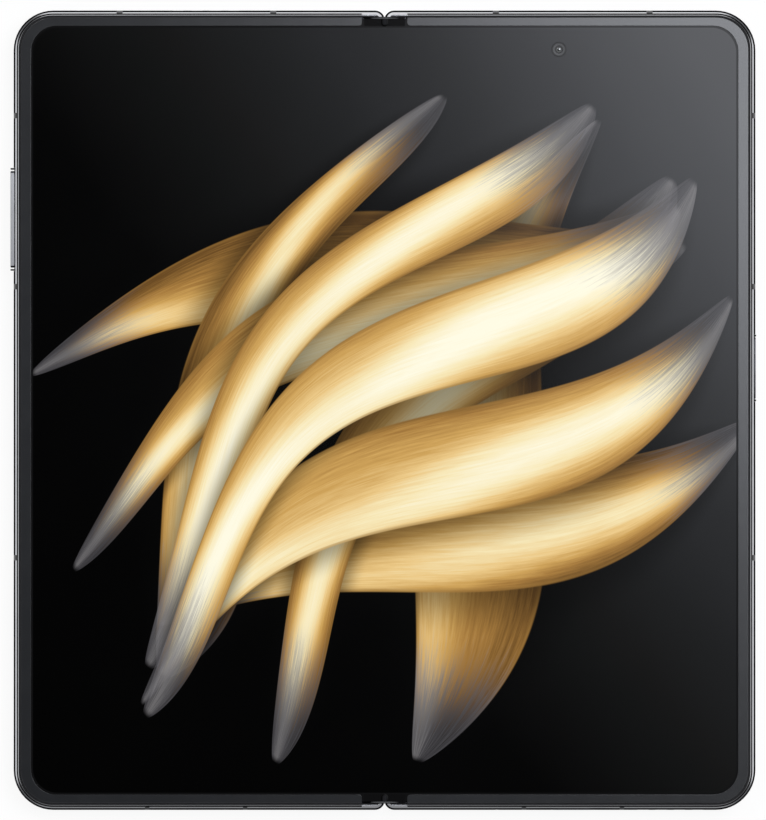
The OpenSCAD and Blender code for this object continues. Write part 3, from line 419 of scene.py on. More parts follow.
# each finish: its two colours, its roughness, and what differs from the usual
finishes = {
    "polishedMetal": ("d6d6d9 c2c3c7", 0.1, {"metal": 1.0, "spread": 0.08, "bump": 0.05}),
    "spineMetal": ("c4c5ca a9aab0", 0.16, {"metal": 1.0, "lines": (6.0, 0.25, 6.0), "bump": 0.12}),
    "hingeSteel": ("a7a9ad 8b8d92", 0.3, {"metal": 1.0, "lines": (0.6, 7.0, 7.0), "bump": 0.25}),
    "gearSteel": ("c2b89c a49a80", 0.27, {"metal": 1.0, "lines": (7.0, 0.7, 7.0), "bump": 0.2}),
    "washerSteel": ("837a6d 665f55", 0.24, {"metal": 1.0, "spread": 0.2}),
    "screwSteel": ("5d5d61 46464a", 0.34, {"metal": 1.0, "spread": 0.15}),
    "supportPlate": ("96969b 7d7d83", 0.3, {"metal": 1.0, "lines": (7.0, 0.2, 7.0), "bump": 0.18}),
    "shieldMetal": ("c6c6c4 adadac", 0.3, {"metal": 1.0, "lines": (0.4, 6.0, 6.0), "bump": 0.2}),
    "motorSteel": ("b4b4b9 9b9ba1", 0.25, {"metal": 1.0, "lines": (5.0, 0.3, 5.0), "bump": 0.15}),
    "portSteel": ("a8a9ae 8e8f95", 0.28, {"metal": 1.0, "lines": (3.0, 5.0, 0.4), "bump": 0.15}),
    "deckMetal": ("55565b 4a4b50", 0.3, {"metal": 1.0, "spread": 0.08, "bump": 0.12, "scale": 1.6}),
    "railSatin": ("8d8e91 838487", 0.3, {"metal": 1.0, "spread": 0.06, "bump": 0.08}),
    "rimBand": ("b8b9bc aeafb2", 0.2, {"metal": 1.0, "spread": 0.05, "bump": 0.08}),
    "contactGold": ("e0bb6a c79f4e", 0.22, {"metal": 1.0, "spread": 0.1}),
    "batteryFoil": ("34353a 292a2e", 0.34, {"metal": 0.7, "spread": 0.2, "bump": 0.5, "scale": 0.25,
                                            "depth": 0.05}),
    "bezelPlastic": ("1e1f21 222325", 0.19, {"ior": 1.5, "spread": 0.02, "bump": 0.08, "scale": 1.4}),
    # the next finish paints the shade of gaps and grooves as a near-black rubber
    "paintedGapShade": ("121214 19191b", 0.55, {"ior": 1.3, "spread": 0.08, "bump": 0.2}),
    "bandPlastic": ("2c2d2f 343538", 0.42, {"spread": 0.08}),
    "capPlastic": ("505153 48494c", 0.36, {"spread": 0.06}),
    "barPlastic": ("3a3b3d 424346", 0.4, {"spread": 0.06}),
    "stemPlastic": ("1b1b1d 202022", 0.4, {"ior": 1.1, "spread": 0.06}),
    "blackPlastic": ("040404 070708", 0.3, {"ior": 1.12, "spread": 0.06, "bump": 0.1}),
    "chipEpoxy": ("17181a 1f2023", 0.46, {"spread": 0.08, "bump": 0.3, "scale": 2.0}),
    "connectorPlastic": ("d8d4c8 c9c4b6", 0.42, {"spread": 0.08}),
    "tabTape": ("b9b09a a79e88", 0.5, {"spread": 0.1, "bump": 0.3, "scale": 0.7}),
    "modulePlastic": ("1c1d1f 232427", 0.42, {"spread": 0.1, "bump": 0.3}),
    "cameraBlack": ("0b0b0c 101012", 0.5, {"spread": 0.1, "bump": 0.2}),
    "lensCover": ("050608 07080b", 0.05, {"ior": 1.52, "spread": 0.03, "bump": 0.0}),
    "coverGlass": ("07080a 0a0b0d", 0.07, {"ior": 1.5, "spread": 0.04, "bump": 0.0}),
    "coverPanel": ("050507 08080b", 0.2, {"ior": 1.45, "spread": 0.05}),
    "backGlass": ("3c3e43 37393e", 0.36, {"ior": 1.52, "spread": 0.06, "bump": 0.25, "scale": 3.0}),
    "flexAmber": ("a8641c 7e4712", 0.3, {"ior": 1.55, "lines": (0.3, 2.2, 1.0), "bump": 0.2}),
}
look = {name: grainedMaterial(name, *values) for name, values in finishes.items()}


def satinWithPaintedShade(name, shareOf, first, second, roughness):
    # metal of two tones, the second a painted darkness that stands in for shade and dark reflection: where
    # the share is 1 the second pair of colours and the second roughness show
    material, tree, shader = newMaterial(name)
    place = placeOn(tree)
    share = shareOf(*splitVector(tree, place))
    base, worn = (mixed(tree, share, tone(one), tone(other)) for one, other in zip(first, second))
    skinned(tree, shader, grainedSkin, {
        "Place": place, "Base": base, "Second": worn, "Spread": 0.08,
        "Roughness": share * (roughness[1] - roughness[0]) + roughness[0]}, 0.08, 0.01)
    shader["Metallic"].default_value = 1.0
    shader["Specular Tint"].default_value = tone("6a6b70")
    return material


# the frame: bright shoulders, and a dark belt round the middle of the side, told apart by height; the belt is
# a painted dark reflection
darkReflectionBelt = {"middle": 4.6, "from": 1.47, "to": 1.57, "roughness": (0.2, 0.24)}
look["frameMetal"] = satinWithPaintedShade(
    "frameMetal", lambda x, y, z: 1 - (z - darkReflectionBelt["middle"]).abs().step(darkReflectionBelt["from"], darkReflectionBelt["to"]),
    ("e0e1e4", "d2d3d7"), ("2e2f33", "36373b"), darkReflectionBelt["roughness"])


def coatedLens(name, radius, centre, rings):
    # glass whose coating changes with the distance from its axis; the ramp's places are shares of the radius
    material, tree, shader = newMaterial(name)
    x, y, _ = splitVector(tree, placeOn(tree))
    distance = ((x - centre[0]) ** 2.0 + (y - centre[1]) ** 2.0).root() / radius
    feed(tree, ramped(tree, distance, rings), shader["Base Color"])
    smear = noise(tree, placeOn(tree), 0.8, 3.0)
    feed(tree, smear * 0.05 + 0.03, shader["Roughness"])
    for label, value in (("IOR", 1.7), ("Coat Weight", 0.6), ("Coat Roughness", 0.02)):
        shader[label].default_value = value
    return material


def wovenMesh(name, pitch=28.0):
    # fine steel gauze: crossed wires whose height and tone follow two sine waves
    material, tree, shader = newMaterial(name)
    x, _, z = splitVector(tree, placeOn(tree))
    wires = ((x * pitch).sin() * (z * pitch).sin()) * 0.5 + 0.5
    feed(tree, mixed(tree, wires.step(0.3, 0.7), tone("0a0a0b"), tone("4c4d50")), shader["Base Color"])
    feed(tree, wires * 0.2 + 0.35, shader["Roughness"])
    bumped(tree, shader, wires, 0.6, 0.05)
    shader["Metallic"].default_value = 0.8
    return material


def circuitBoard(name):
    # green lacquer over copper tracks, with rows of gold pads
    material, tree, shader = newMaterial(name)
    place = placeOn(tree)
    x, y, _ = splitVector(tree, place)
    drift = noise(tree, place, 0.22, 1.0, 0.3)
    areas = noise(tree, place, 0.35, 0.0).step(0.46, 0.5)
    tracks = ((x + drift * 6.0) * 5.2).sin().step(0.55, 0.8) * areas
    copper = tracks.atLeast(((y - drift * 5.0) * 4.4).sin().step(0.6, 0.85) * (1 - areas))
    padAreas = noise(tree, place, 0.5, 0.0).step(0.52, 0.56)
    pads = ((x * 3.6).sin() * (y * 3.6).sin()).step(0.78, 0.86) * padAreas
    green = mixed(tree, copper, tone("0d3a20"), tone("1d5f35"))
    feed(tree, mixed(tree, pads, green, tone("c9a24e")), shader["Base Color"])
    feed(tree, pads, shader["Metallic"])
    feed(tree, 0.36 - copper * 0.08, shader["Roughness"])
    bumped(tree, shader, copper + pads, 0.4, 0.03)
    return material


look["speakerGauze"] = wovenMesh("speakerGauze")
look["boardGreen"] = circuitBoard("boardGreen")
print("phone:", len(look), "finishes made")

# a satin ribbon over what is under it: it runs along a bent line, narrows to both tips and turns smoky there
ribbonLabels = "Turn Shift Slide Reach Width Sway Bend Phase Twist Pleats Lift".split()
ribbonInputs = "Under:c " + " ".join(label + ":f" for label in ["X", "Y"] + ribbonLabels)
silkRibbon, given, leave = newGroup("silkRibbon", ribbonInputs, "Color:c")
under, x, y, turn, shift, slide, reach, width, sway, bend, phase, twist, pleats, lift = given
turnCos, turnSin = turn.cos(), turn.sin()
along = x * turnCos + y * turnSin - slide
across = y * turnCos - x * turnSin - shift
middle = sway * (along * bend + phase).sin()
reachShare = (along / reach).abs()
taper = (1 - reachShare * reachShare).atLeast(0.0) ** 0.7
swell = (along * twist + phase * 2.0).cos() * 0.28 + 0.72
side = (across - middle) / (width * taper * swell).atLeast(0.02)
outside = side.abs()
body = (1 - outside.step(0.965, 1.0)) * (1 - reachShare.step(0.97, 0.99))
threads = noise(silkRibbon, joinedVector(silkRibbon, side * 9.0, along * 0.03, phase), 3.0, 4.0, 0.7)
fold = (side * pleats + (along * twist * 1.7 + phase).sin() * 1.1 + phase).sin()
sheen = (fold * 0.5 + 0.5) ** 1.6
bright = sheen * 0.5 + (1 - outside * outside) * 0.3 + (threads - 0.5) * 0.36 + lift + 0.1
silk = ramped(silkRibbon, bright, [(0.0, "6a4a22"), (0.2, "a87c3e"), (0.38, "cfa35a"), (0.56, "ecc987"),
                                   (0.76, "f8e8b8"), (1.0, "fffbe4")])
silk = mixed(silkRibbon, outside.step(0.9, 0.965) * 0.55, silk, tone("8f6a34"))
smoke = (reachShare + (threads - 0.5) * 0.4).step(0.6, 0.9)
ash = ramped(silkRibbon, threads + sheen * 0.35, [(0.3, "2e2d2f"), (0.62, "77757a"), (0.95, "b9b6b8")])
silk = mixed(silkRibbon, smoke, silk, ash)
shade = (1 - outside.step(0.9, 1.75)) * (1 - reachShare.step(0.75, 1.0)) * 0.62
shaded = mixed(silkRibbon, shade, under, tone("020202"))
feed(silkRibbon, mixed(silkRibbon, body * (1 - smoke * 0.68), shaded, silk), leave["Color"])

# the lit area in millimetres, its ground as a ramp on the diagonal, partly the picture and partly a painted
# sheen of the key light, and each ribbon's values by ribbonLabels
wallpaper = {
    "halfWidth": 68.85, "halfHeight": 74.9, "cornerRadius": 4.8, "border": "0e0e0f",
    "ground": [(0.0, "000000"), (0.118, "000000"), (0.19, "050505"), (0.294, "0d0e0e"), (0.34, "111111"),
               (0.433, "18191a"), (0.523, "1f2022"), (0.653, "222325"), (0.756, "28292c"), (0.859, "343538"),
               (0.929, "3e3f42"), (0.982, "414245")],
    "ribbons": [
        (1.25, -22, 2, 66, 15, 8, 0.042, 0.4, 0.030, 2.6, -0.22),
        (0.25, 24, 0, 66, 14, 8, 0.040, 2.6, 0.034, 2.4, -0.2),
        (0.40, -26, 4, 62, 14, 9, 0.043, 3.2, 0.032, 3.0, -0.16),
        (1.10, 24, -3, 64, 14, 9, 0.045, 1.1, 0.038, 2.8, -0.14),
        (0.98, -12, 0, 70, 14, 10, 0.044, 2.0, 0.036, 2.6, -0.08),
        (0.55, 12, 1, 70, 14, 10, 0.044, 2.3, 0.035, 2.9, -0.04),
        (0.62, -17, -2, 71, 12, 10, 0.043, 2.8, 0.034, 2.7, 0.02),
        (0.90, 15, 2, 71, 12, 10, 0.045, 1.7, 0.037, 2.5, 0.04),
        (0.76, -1, 0, 76, 13, 11, 0.044, 2.15, 0.040, 2.3, 0.12),
    ],
}
screenPicture, given, leave = newGroup("screenPicture", "X:f Y:f", "Color:c")
x, y = given
# black low on the left, rising to a soft grey at the top right: partly the picture, partly a painted sheen of
# the key light
picture = ramped(screenPicture, (x + y * 0.75 + 45) / 170, wallpaper["ground"])
for values in wallpaper["ribbons"]:
    values = {"Under": picture, "X": x, "Y": y, **dict(zip(ribbonLabels, values))}
    picture = useGroup(screenPicture, silkRibbon, values)["Color"]
# outside the lit area, whose corners are round, the panel has a near-black border
radius = wallpaper["cornerRadius"]
cornerX = (x.abs() - (wallpaper["halfWidth"] - radius)).atLeast(0.0)
cornerY = (y.abs() - (wallpaper["halfHeight"] - radius)).atLeast(0.0)
beyond = (cornerX ** 2.0 + cornerY ** 2.0).root() - radius
picture = mixed(screenPicture, beyond.step(-0.03, 0.05), picture, tone(wallpaper["border"]))
feed(screenPicture, picture, leave["Color"])

# the folding part's own map spans this many millimetres; a dull seal covers the film from "sealFrom" outwards
foldMap = {"name": "flatPlace", "span": 200.0, "sealFrom": 75.1, "sealFull": 75.3, "sealDims": 0.36}


def screenMaterial(name, fromMap):
    # the lit panel under its clear film; x and y are object coordinates, or the folding piece's own map
    material, tree, shader = newMaterial(name)
    if fromMap:
        source = tree.nodes.new("ShaderNodeUVMap")
        source.uv_map = foldMap["name"]
        x, y = ((part - 0.5) * foldMap["span"] for part in splitVector(tree, source.outputs["UV"])[:2])
        seal = y.abs().step(foldMap["sealFrom"], foldMap["sealFull"])
        feed(tree, 0.5 - seal * foldMap["sealDims"], shader["Specular IOR Level"])
    else:
        x, y, _ = splitVector(tree, placeOn(tree))
    picture = useGroup(tree, screenPicture, {"X": x, "Y": y})
    tree.links.new(picture["Color"], shader["Emission Color"])
    shader["Emission Strength"].default_value = 1.0
    shader["Base Color"].default_value = tone("010101")
    feed(tree, noise(tree, placeOn(tree), 0.05, 3.0) * 0.03 + 0.13, shader["Roughness"])
    shader["IOR"].default_value = 1.22
    return material


look["screen"] = screenMaterial("screenFlat", False)
look["screenFold"] = screenMaterial("screenFold", True)
print("phone: screen picture made")


def paint(finish, *members):
    for node in members:
        nodes[node].data.materials.clear()
        nodes[node].data.materials.append(look[finish])


def halfPath(edgeX, edgeY, radius, run, turnSteps, gap):
    # the right half's path and the outward direction at its points: the top edge at the places in run, the
    # corner, the side, and the first two mirrored
    turn = np.radians(np.linspace(90, 0, turnSteps))
    out = np.stack([np.cos(turn), np.sin(turn)], -1)
    end = edgeY - radius - gap
    side = gridOf(edgeX, np.linspace(end, -end, 24))
    line = np.concatenate([gridOf(run, edgeY), np.array([edgeX, edgeY]) - radius + radius * out])
    out = np.concatenate([gridOf(0 * run, 1.0), out])
    line = np.concatenate([line, side, line[::-1] * (1, -1)])
    return line, np.concatenate([out, side * 0 + (1, 0), out[::-1] * (1, -1)])


bezel = {
    "endX": 4.46, "outerInset": 1.05, "sideInset": 3.47, "endInset": 3.08, "innerCorner": 5.0, "foot": 0.6,
    "skirt": 6.73, "groove": 0.36, "grooveFloor": 6.7, "outerRound": 0.12, "innerRound": 0.035,
    "cornerRound": 0.55, "flat": 0.03, "edgeRound": 0.05, "gap": 0.5, "runSteps": 26, "turnSteps": 15,
    "nearEnd": [0, 0.05, 0.12, 0.2, 0.3, 0.42, 0.56, 0.75, 1.0, 1.4], "farFrom": 2.5, "endsBeyond": 60,
}


def bezelSheet(side):
    # the ring between two U-shaped outlines: at each path point, a share of the way across for each of the
    # section's places, and its height
    endX, gap, outline = bezel["endX"], bezel["gap"], []
    for insetX, insetY, radius in (
            (bezel["outerInset"], bezel["outerInset"], phone["cornerRadius"] - bezel["outerInset"]),
            (bezel["sideInset"], bezel["endInset"], bezel["innerCorner"])):
        edgeX, edgeY = phone["halfWidth"] - insetX, phone["halfHeight"] - insetY
        far = np.linspace(bezel["farFrom"], edgeX - radius - endX - gap, bezel["runSteps"])
        run = endX + np.concatenate([bezel["nearEnd"], far])
        outline.append(halfPath(edgeX, edgeY, radius, run, bezel["turnSteps"], gap)[0])
    outer, inner = outline
    # the inner corner of each end is a quarter circle
    radius = bezel["cornerRound"]
    fromEnd = np.clip(outer[:, 0] - endX, 0, radius)
    cut = radius - np.sqrt(radius ** 2 - (radius - fromEnd) ** 2)
    cut = np.where(np.abs(outer[:, 1]) > bezel["endsBeyond"], cut, 0)
    inner = inner + gridOf(0, cut * np.sign(inner[:, 1]))
    width = np.linalg.norm(inner - outer, axis=1)
    # section: an offset in millimetres, a share of the width, and the height
    top, back, groove, flat = phone["bezelTop"], phone["displayBack"], bezel["groove"], bezel["flat"]
    outerRound, innerRound, arc = bezel["outerRound"], bezel["innerRound"], np.linspace(0, np.pi / 2, 6)
    section = [(0, 0, back), (0, 0, bezel["grooveFloor"]), (groove, 0, bezel["grooveFloor"])]
    section += [(groove + outerRound * (1 - np.cos(a)), 0, top - outerRound * (1 - np.sin(a))) for a in arc]
    section += [(groove + outerRound + flat, 0, top), (-innerRound - flat, 1, top)]
    section += [(-innerRound * (1 - np.cos(a)), 1, top - innerRound * (1 - np.sin(a))) for a in arc[::-1]]
    section += [(0, 1, bezel["skirt"]), (bezel["foot"], 0, bezel["skirt"]), (bezel["foot"], 0, back)]
    offset, share, height = np.array(section).T
    across = (offset + share * width[:, None]) / width[:, None]
    x, y = (a[:, None] * (1 - across) + b[:, None] * across for a, b in zip(outer.T, inner.T))
    return tube(side * x, y, height)


for half, side in sides.items():
    piece = surfacePiece(half + "BezelRim", [bezelSheet(side)], look["bezelPlastic"])
    roundEdges(piece, bezel["edgeRound"], 2, 60)
    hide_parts(half + "_bezel")
    settle(half + "_half", "bezel_plastic", piece)
    paint("screen", "display_" + half)

# three slim rings between the metal and the bezel, each a section of (inset, height): a black ring that
# paints a dark reflection line, a bright sloping lip, and a dark ring on the bezel's groove floor that paints
# the groove's shade
rim = {
    "SeamLine": {"finish": "blackPlastic", "slot": "bezel_plastic",
                 "section": [(0.645, 6.52), (0.70, 6.60), (0.76, 6.675), (0.82, 6.735), (0.885, 6.8),
                             (0.888, 6.5), (0.67, 6.3)]},
    "LipBand": {"finish": "rimBand", "slot": "frame_metal",
                "section": [(0.89, 6.79), (1.04, 7.04), (1.05, 7.05), (1.058, 7.04), (1.058, 6.5),
                            (0.89, 6.5)]},
    "Gasket": {"finish": "paintedGapShade", "slot": "bezel_plastic",
               "section": [(1.06, 6.6), (1.06, 6.74), (1.12, 6.78), (1.34, 6.78), (1.40, 6.74), (1.40, 6.6)]},
}
rimPath = {"runSteps": 26, "turnSteps": 25, "gap": 0.6}


def rimSheet(side, section):
    # the section carried along the phone's outline, moved inwards by its inset at each point
    edgeX, edgeY, radius, gap = phone["halfWidth"], phone["halfHeight"], phone["cornerRadius"], rimPath["gap"]
    run = np.linspace(bezel["endX"], edgeX - radius - gap, rimPath["runSteps"])
    line, out = halfPath(edgeX, edgeY, radius, run, rimPath["turnSteps"], gap)
    inset, height = np.array(section).T
    x, y = (a[:, None] - b[:, None] * inset for a, b in zip(line.T, out.T))
    return tube(side * x, y, height)


for half, side in sides.items():
    for name, ring in rim.items():
        piece = surfacePiece(half + name, [rimSheet(side, ring["section"])], look[ring["finish"]])
        settle(half + "_half", ring["slot"], piece)

foldingPanel = {"halfWidth": 4.02, "endInset": 1.75, "columns": 25, "rows": 80, "thinner": 0.14,
                "thinReach": 2.8, "bendReach": 4}
for half, side in sides.items():
    # a slab of fine quads from the middle to the stiff part, thinner by a squared cosine over the hinge; its
    # map keeps each point's flat place
    reach = phone["halfHeight"] - foldingPanel["endInset"]
    columns = np.linspace(0, foldingPanel["halfWidth"], foldingPanel["columns"])
    thinShare = np.cos(np.pi / 2 * np.minimum(columns / foldingPanel["thinReach"], 1)) ** 2
    under = gridOf(columns, phone["displayBack"] + foldingPanel["thinner"] * thinShare)
    x, z = np.concatenate([gridOf(columns, phone["displayTop"]), under[::-1]]).T
    rows = np.linspace(-reach, reach, foldingPanel["rows"])[:, None]
    piece = surfacePiece(half + "FoldingPanel", [tube(side * x, rows, z)], look["screenFold"])
    mesh = piece.data
    flatMap = mesh.uv_layers.new(name=foldMap["name"])
    corners = np.empty(len(mesh.loops), int)
    mesh.loops.foreach_get("vertex_index", corners)
    places = np.empty(len(mesh.vertices) * 3)
    mesh.vertices.foreach_get("co", places)
    flatPlace = places.reshape(-1, 3)[corners, :2] / (foldMap["span"] * mm) + 0.5
    flatMap.data.foreach_set("uv", flatPlace.ravel())
    if side > 0:
        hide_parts("display_fold")
    end = (side * foldingPanel["bendReach"] * mm, 0, 0)
    half + "_half"
    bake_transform(piece)
print("phone: screen and bezels made")

endCap = {
    "barHalf": 2.75, "barDeep": 0.26, "barInset": 0.1, "barTop": 6.95, "barFoot": 4.9, "barEdge": 0.14,
    "lensPoints": 96, "lensPower": 0.8, "lensLean": 0.3,
    "stemHalf": 0.43, "stemEnd": 75.4, "stemTop": 6.9, "stemEdge": 0.16, "lift": 0.02,
    "collar": 0.28, "stemShadowTop": 6.76, "stemShadowEdge": 0.02,
    "plugHalf": 4.1, "plugSpan": (76.62, 76.98), "plugHeights": (4.9, 6.42), "plugRounds": (0.15, 0.08),
}


def stemSheet(sign, extra, top, edge, steps):
    # a round-ended bar from the seam's end inwards, wider by the extra on each side
    half, reach = endCap["stemHalf"] + extra, (lensY - endCap["stemEnd"]) / 2 + extra
    outline = roundedOutline(half, reach, half - 0.01, 10, (0, sign * (endCap["stemEnd"] + lensY) / 2))
    foot = phone["displayTop"] + endCap["lift"]
    return plate(outline, roundedLevels(foot, top, edge, steps, bottom=False))


lensY = phone["spineEnd"] - endCap["barInset"] - endCap["barDeep"] / 2
for sign, place in ((1, "Top"), (-1, "Bottom")):
    # the bar is a lens seen from above; under it a black plug closes the spine; a black collar round the stem
    # is its painted shadow
    turn = np.linspace(0, 2 * np.pi, endCap["lensPoints"], endpoint=False)
    lens = np.stack([endCap["barHalf"] * np.sign(np.cos(turn)) * np.abs(np.cos(turn)) ** endCap["lensPower"],
                     lensY + endCap["barDeep"] / 2 * np.sin(turn)], -1)
    lensOut = np.stack([np.cos(turn) * endCap["lensLean"], np.sin(turn)], -1)
    bar = plate((lens * (1, sign), lensOut * (1, sign)),
                roundedLevels(endCap["barFoot"], endCap["barTop"], endCap["barEdge"]))
    cap = surfacePiece("hingeEndCap" + place, [bar], look["barPlastic"])
    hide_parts("end_cap_" + place.lower())
    (near, far), (foot, top) = sorted(sign * y for y in endCap["plugSpan"]), endCap["plugHeights"]
    plug = block((-endCap["plugHalf"], near, foot), (endCap["plugHalf"], far, top), *endCap["plugRounds"])
    # the collar is a black ring a little wider than the stem: a painted shadow round it
    collar = stemSheet(sign, endCap["collar"], endCap["stemShadowTop"], endCap["stemShadowEdge"], 3)
    stem = stemSheet(sign, 0, endCap["stemTop"], endCap["stemEdge"], 5)
    stem = surfacePiece("hingeEndStem" + place, [stem], look["stemPlastic"])
    plug = surfacePiece("hingeEndPlug" + place, [plug, collar], look["blackPlastic"])
    settle("hinge_spine", "cap_plastic", cap, stem, plug)

# two strips on each rail's flat top, satin and dark, the dark one a painted shade by the rail's inner face: a
# section of (inset, height) that runs straight towards the seam up to "end", where the satin one turns with
# the rail's corner and the dark one is cut on a slant
rail = {"from": 4.5, "straight": 6, "turned": 9, "radius": 1.9}
railStrips = {
    "Satin": {"finish": "railSatin", "slot": "frame_metal", "end": 1.85, "turn": 45, "slant": 0.0,
              "section": [(0.87, 6.76), (0.9, 6.802), (0.94, 6.815), (1.03, 6.818), (1.055, 6.8),
                          (1.055, 6.6), (0.87, 6.6)]},
    "Dark": {"finish": "paintedGapShade", "slot": "bezel_plastic", "end": 1.32, "turn": 0, "slant": 0.7,
             "section": [(1.065, 6.79), (1.08, 6.82), (1.29, 6.84), (1.315, 6.8), (1.315, 6.6),
                         (1.065, 6.6)]},
}
for half, side in sides.items():
    for name, strip in railStrips.items():
        inset, height = np.array(strip["section"]).T
        straight, bent, end = rail["straight"], rail["turned"], strip["end"]
        run = np.concatenate([np.linspace(rail["from"], end, straight), np.full(bent, end)])[:, None]
        turn = np.concatenate([np.zeros(straight), np.linspace(0, strip["turn"], bent + 1)[1:]])
        turn, radius = np.radians(turn)[:, None], rail["radius"] - inset
        across = run - radius * np.sin(turn)
        across[straight - 1:] -= strip["slant"] * (inset - inset.min())
        along = phone["halfHeight"] - rail["radius"] + radius * np.cos(turn)
        rows = slice(None) if strip["turn"] else [0, straight - 1]
        sheets = [tube(side * across[rows], sign * along[rows], height) for sign in (1, -1)]
        piece = surfacePiece(half + "Rail" + name, sheets, look[strip["finish"]])
        settle(half + "_half", strip["slot"], piece)

flexCable = {"middles": (24, 31), "width": 5.0, "thick": 0.1, "reach": 13.6, "height": 4.97,
             "slackHalf": 3.4, "flatFrom": 3.8, "dip": 1.0, "bend": (1, 7)}
for half, side in sides.items():
    # a thin band whose height dips as a squared cosine near the middle, as the slack loop does
    slack, flat = flexCable["slackHalf"], (flexCable["flatFrom"], flexCable["reach"])
    run = np.concatenate([np.linspace(0, slack, 18), np.linspace(*flat, 22)])[:, None]
    dip = np.where(run < slack, flexCable["dip"] * np.cos(np.pi / 2 * np.minimum(run / slack, 1)) ** 2, 0)
    edgeY, edgeZ = np.array([(-1, 1, 1, -1), (-1, -1, 1, 1)]) / 2
    level = flexCable["height"] - dip + edgeZ * flexCable["thick"]
    sheets = [tube(side * run, middle + edgeY * flexCable["width"], level) for middle in flexCable["middles"]]
    piece = surfacePiece(half + "FlexBands", sheets, look["flexAmber"])
    if side > 0:
        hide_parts("flex_cables")
    start, end = ((side * x * mm, 0, 0) for x in flexCable["bend"])
    half + "_half"
    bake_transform(piece)
print("phone: hinge ends and cables made")

paint("frameMetal", "left_frame", "right_frame")
paint("bandPlastic", "left_antenna_bands", "right_antenna_bands")
paint("spineMetal", "spine_cover")
paint("hingeSteel", "hinge_block_top", "hinge_block_bottom", "gear_shafts", "left_hinge_brackets",
      "right_hinge_brackets")
paint("gearSteel", "left_swing_arms", "right_swing_arms", "left_idler_gears", "right_idler_gears")
paint("washerSteel", "friction_washers")
paint("screwSteel", "hinge_screws", "left_screws", "right_screws")
paint("supportPlate", "left_support_plate", "right_support_plate")
paint("modulePlastic", "centre_support", "volume_switches", "power_switch")
paint("motorSteel", "vibration_motor")
paint("boardGreen", "left_board", "main_board")
paint("shieldMetal", "board_shields", "card_reader")
paint("portSteel", "charging_port")
paint("coverPanel", "cover_display")
paint("cameraBlack", "cover_camera")
softened("earpiece_speaker", "earpieceBox", look["modulePlastic"], 0.25)
softened("bottom_speaker", "bottomSpeakerBox", look["modulePlastic"], 0.25)
softened("card_tray", "cardTrayFace", look["frameMetal"], 0.04, 2)
softened("camera_deck", "cameraDeckPlate", look["deckMetal"], 0.5, 5)
softened("cover_glass", "coverGlassSheet", look["coverGlass"], 0.2)
softened("back_cover", "backGlassSheet", look["backGlass"], 0.2)
print("phone: deck and glass made")

# keys: a satin bar between two small lugs, on the flange behind the frame's wall
keys = {
    "volume": {"side": -1, "bar": ("a2a3a6", "999a9d"), "roughness": (0.5, 0.35), "proud": 0.6,
               "lugProud": 0.6, "lugGap": 0.3, "lugLength": 0.3},
    "power": {"side": 1, "bar": ("4e4f52", "56575b"), "roughness": (0.26, 0.3), "proud": 0.03,
              "lugProud": 0.1, "lugGap": 0.12, "lugLength": 0.4},
}
keyShape = {"depth": 1.95, "flange": 0.3, "flangeWider": 0.4, "flangeEdge": 0.05, "corner": 0.3,
            "edge": 0.16, "sunk": 0.02, "dark": ("131416", "1a1b1d"), "shadedEnd": 0.34, "shadedEndSoft": 0.03}
for name, key in keys.items():
    low, high, (_, midY, midZ) = nodeBox(name + "_key")
    halfLength, halfWidth = (high[1] - low[1]) / 2 - keyShape["flangeWider"], (high[2] - low[2]) / 2
    back, lugHalf = phone["halfWidth"] - keyShape["depth"], key["lugLength"] / 2
    front, barHalf = back + keyShape["flange"], halfLength - key["lugGap"] - key["lugLength"]
    sheets = []
    for centre, half, proud in ((0, barHalf, key["proud"]), (halfLength - lugHalf, lugHalf, key["lugProud"]),
                                (lugHalf - halfLength, lugHalf, key["lugProud"])):
        corner = min(keyShape["corner"], half * 0.9)
        outline = roundedOutline(half, halfWidth, corner, 6, (midY + centre, midZ))
        levels = roundedLevels(front - keyShape["sunk"], phone["halfWidth"] + proud,
                               min(keyShape["edge"], half * 0.4), bottom=False)
        sheets.append(plate(outline, levels, "yz"))
    flangeHalf = halfLength + keyShape["flangeWider"]
    outline = roundedOutline(flangeHalf, halfWidth, keyShape["corner"], 6, (midY, midZ))
    sheets.append(plate(outline, roundedLevels(back, front, keyShape["flangeEdge"], 3), "yz"))
    for sheet in sheets:
        sheet["grid"] = sheet["grid"] * (key["side"], 1, 1)
    # the bar is painted darker near each end: painted shade where it rounds off
    dark, soft = barHalf - keyShape["shadedEnd"], keyShape["shadedEndSoft"]
    finish = satinWithPaintedShade(name + "KeyMetal", lambda x, y, z: (y - midY).abs().step(dark - soft, dark + soft),
                     key["bar"], keyShape["dark"], key["roughness"])
    piece = surfacePiece(name + "KeyBar", sheets, finish)
    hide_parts(name + "_key")
    settle(nodes[name + "_key"]["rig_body"], "frame_metal", piece)


def domeProfile(radius, curve, rim, foot, steps=14):
    # from the axis out over a spherical cap to its rim, and down to its foot; a curve under 0 bulges down
    r = np.linspace(0, radius, steps)
    rise = np.sqrt(curve ** 2 - r ** 2) - np.sqrt(curve ** 2 - radius ** 2)
    return [(a, rim + np.sign(curve) * b) for a, b in zip(r, rise)] + [(radius, foot), (0, foot)]


def domedLens(name, coatName, centre, dome, rings, steps):
    # the dome is what domeProfile takes, and the rings are its coating
    coat = coatedLens(coatName, dome["radius"], centre, rings)
    return surfacePiece(name, [turned(centre, domeProfile(**dome), steps)], coat)


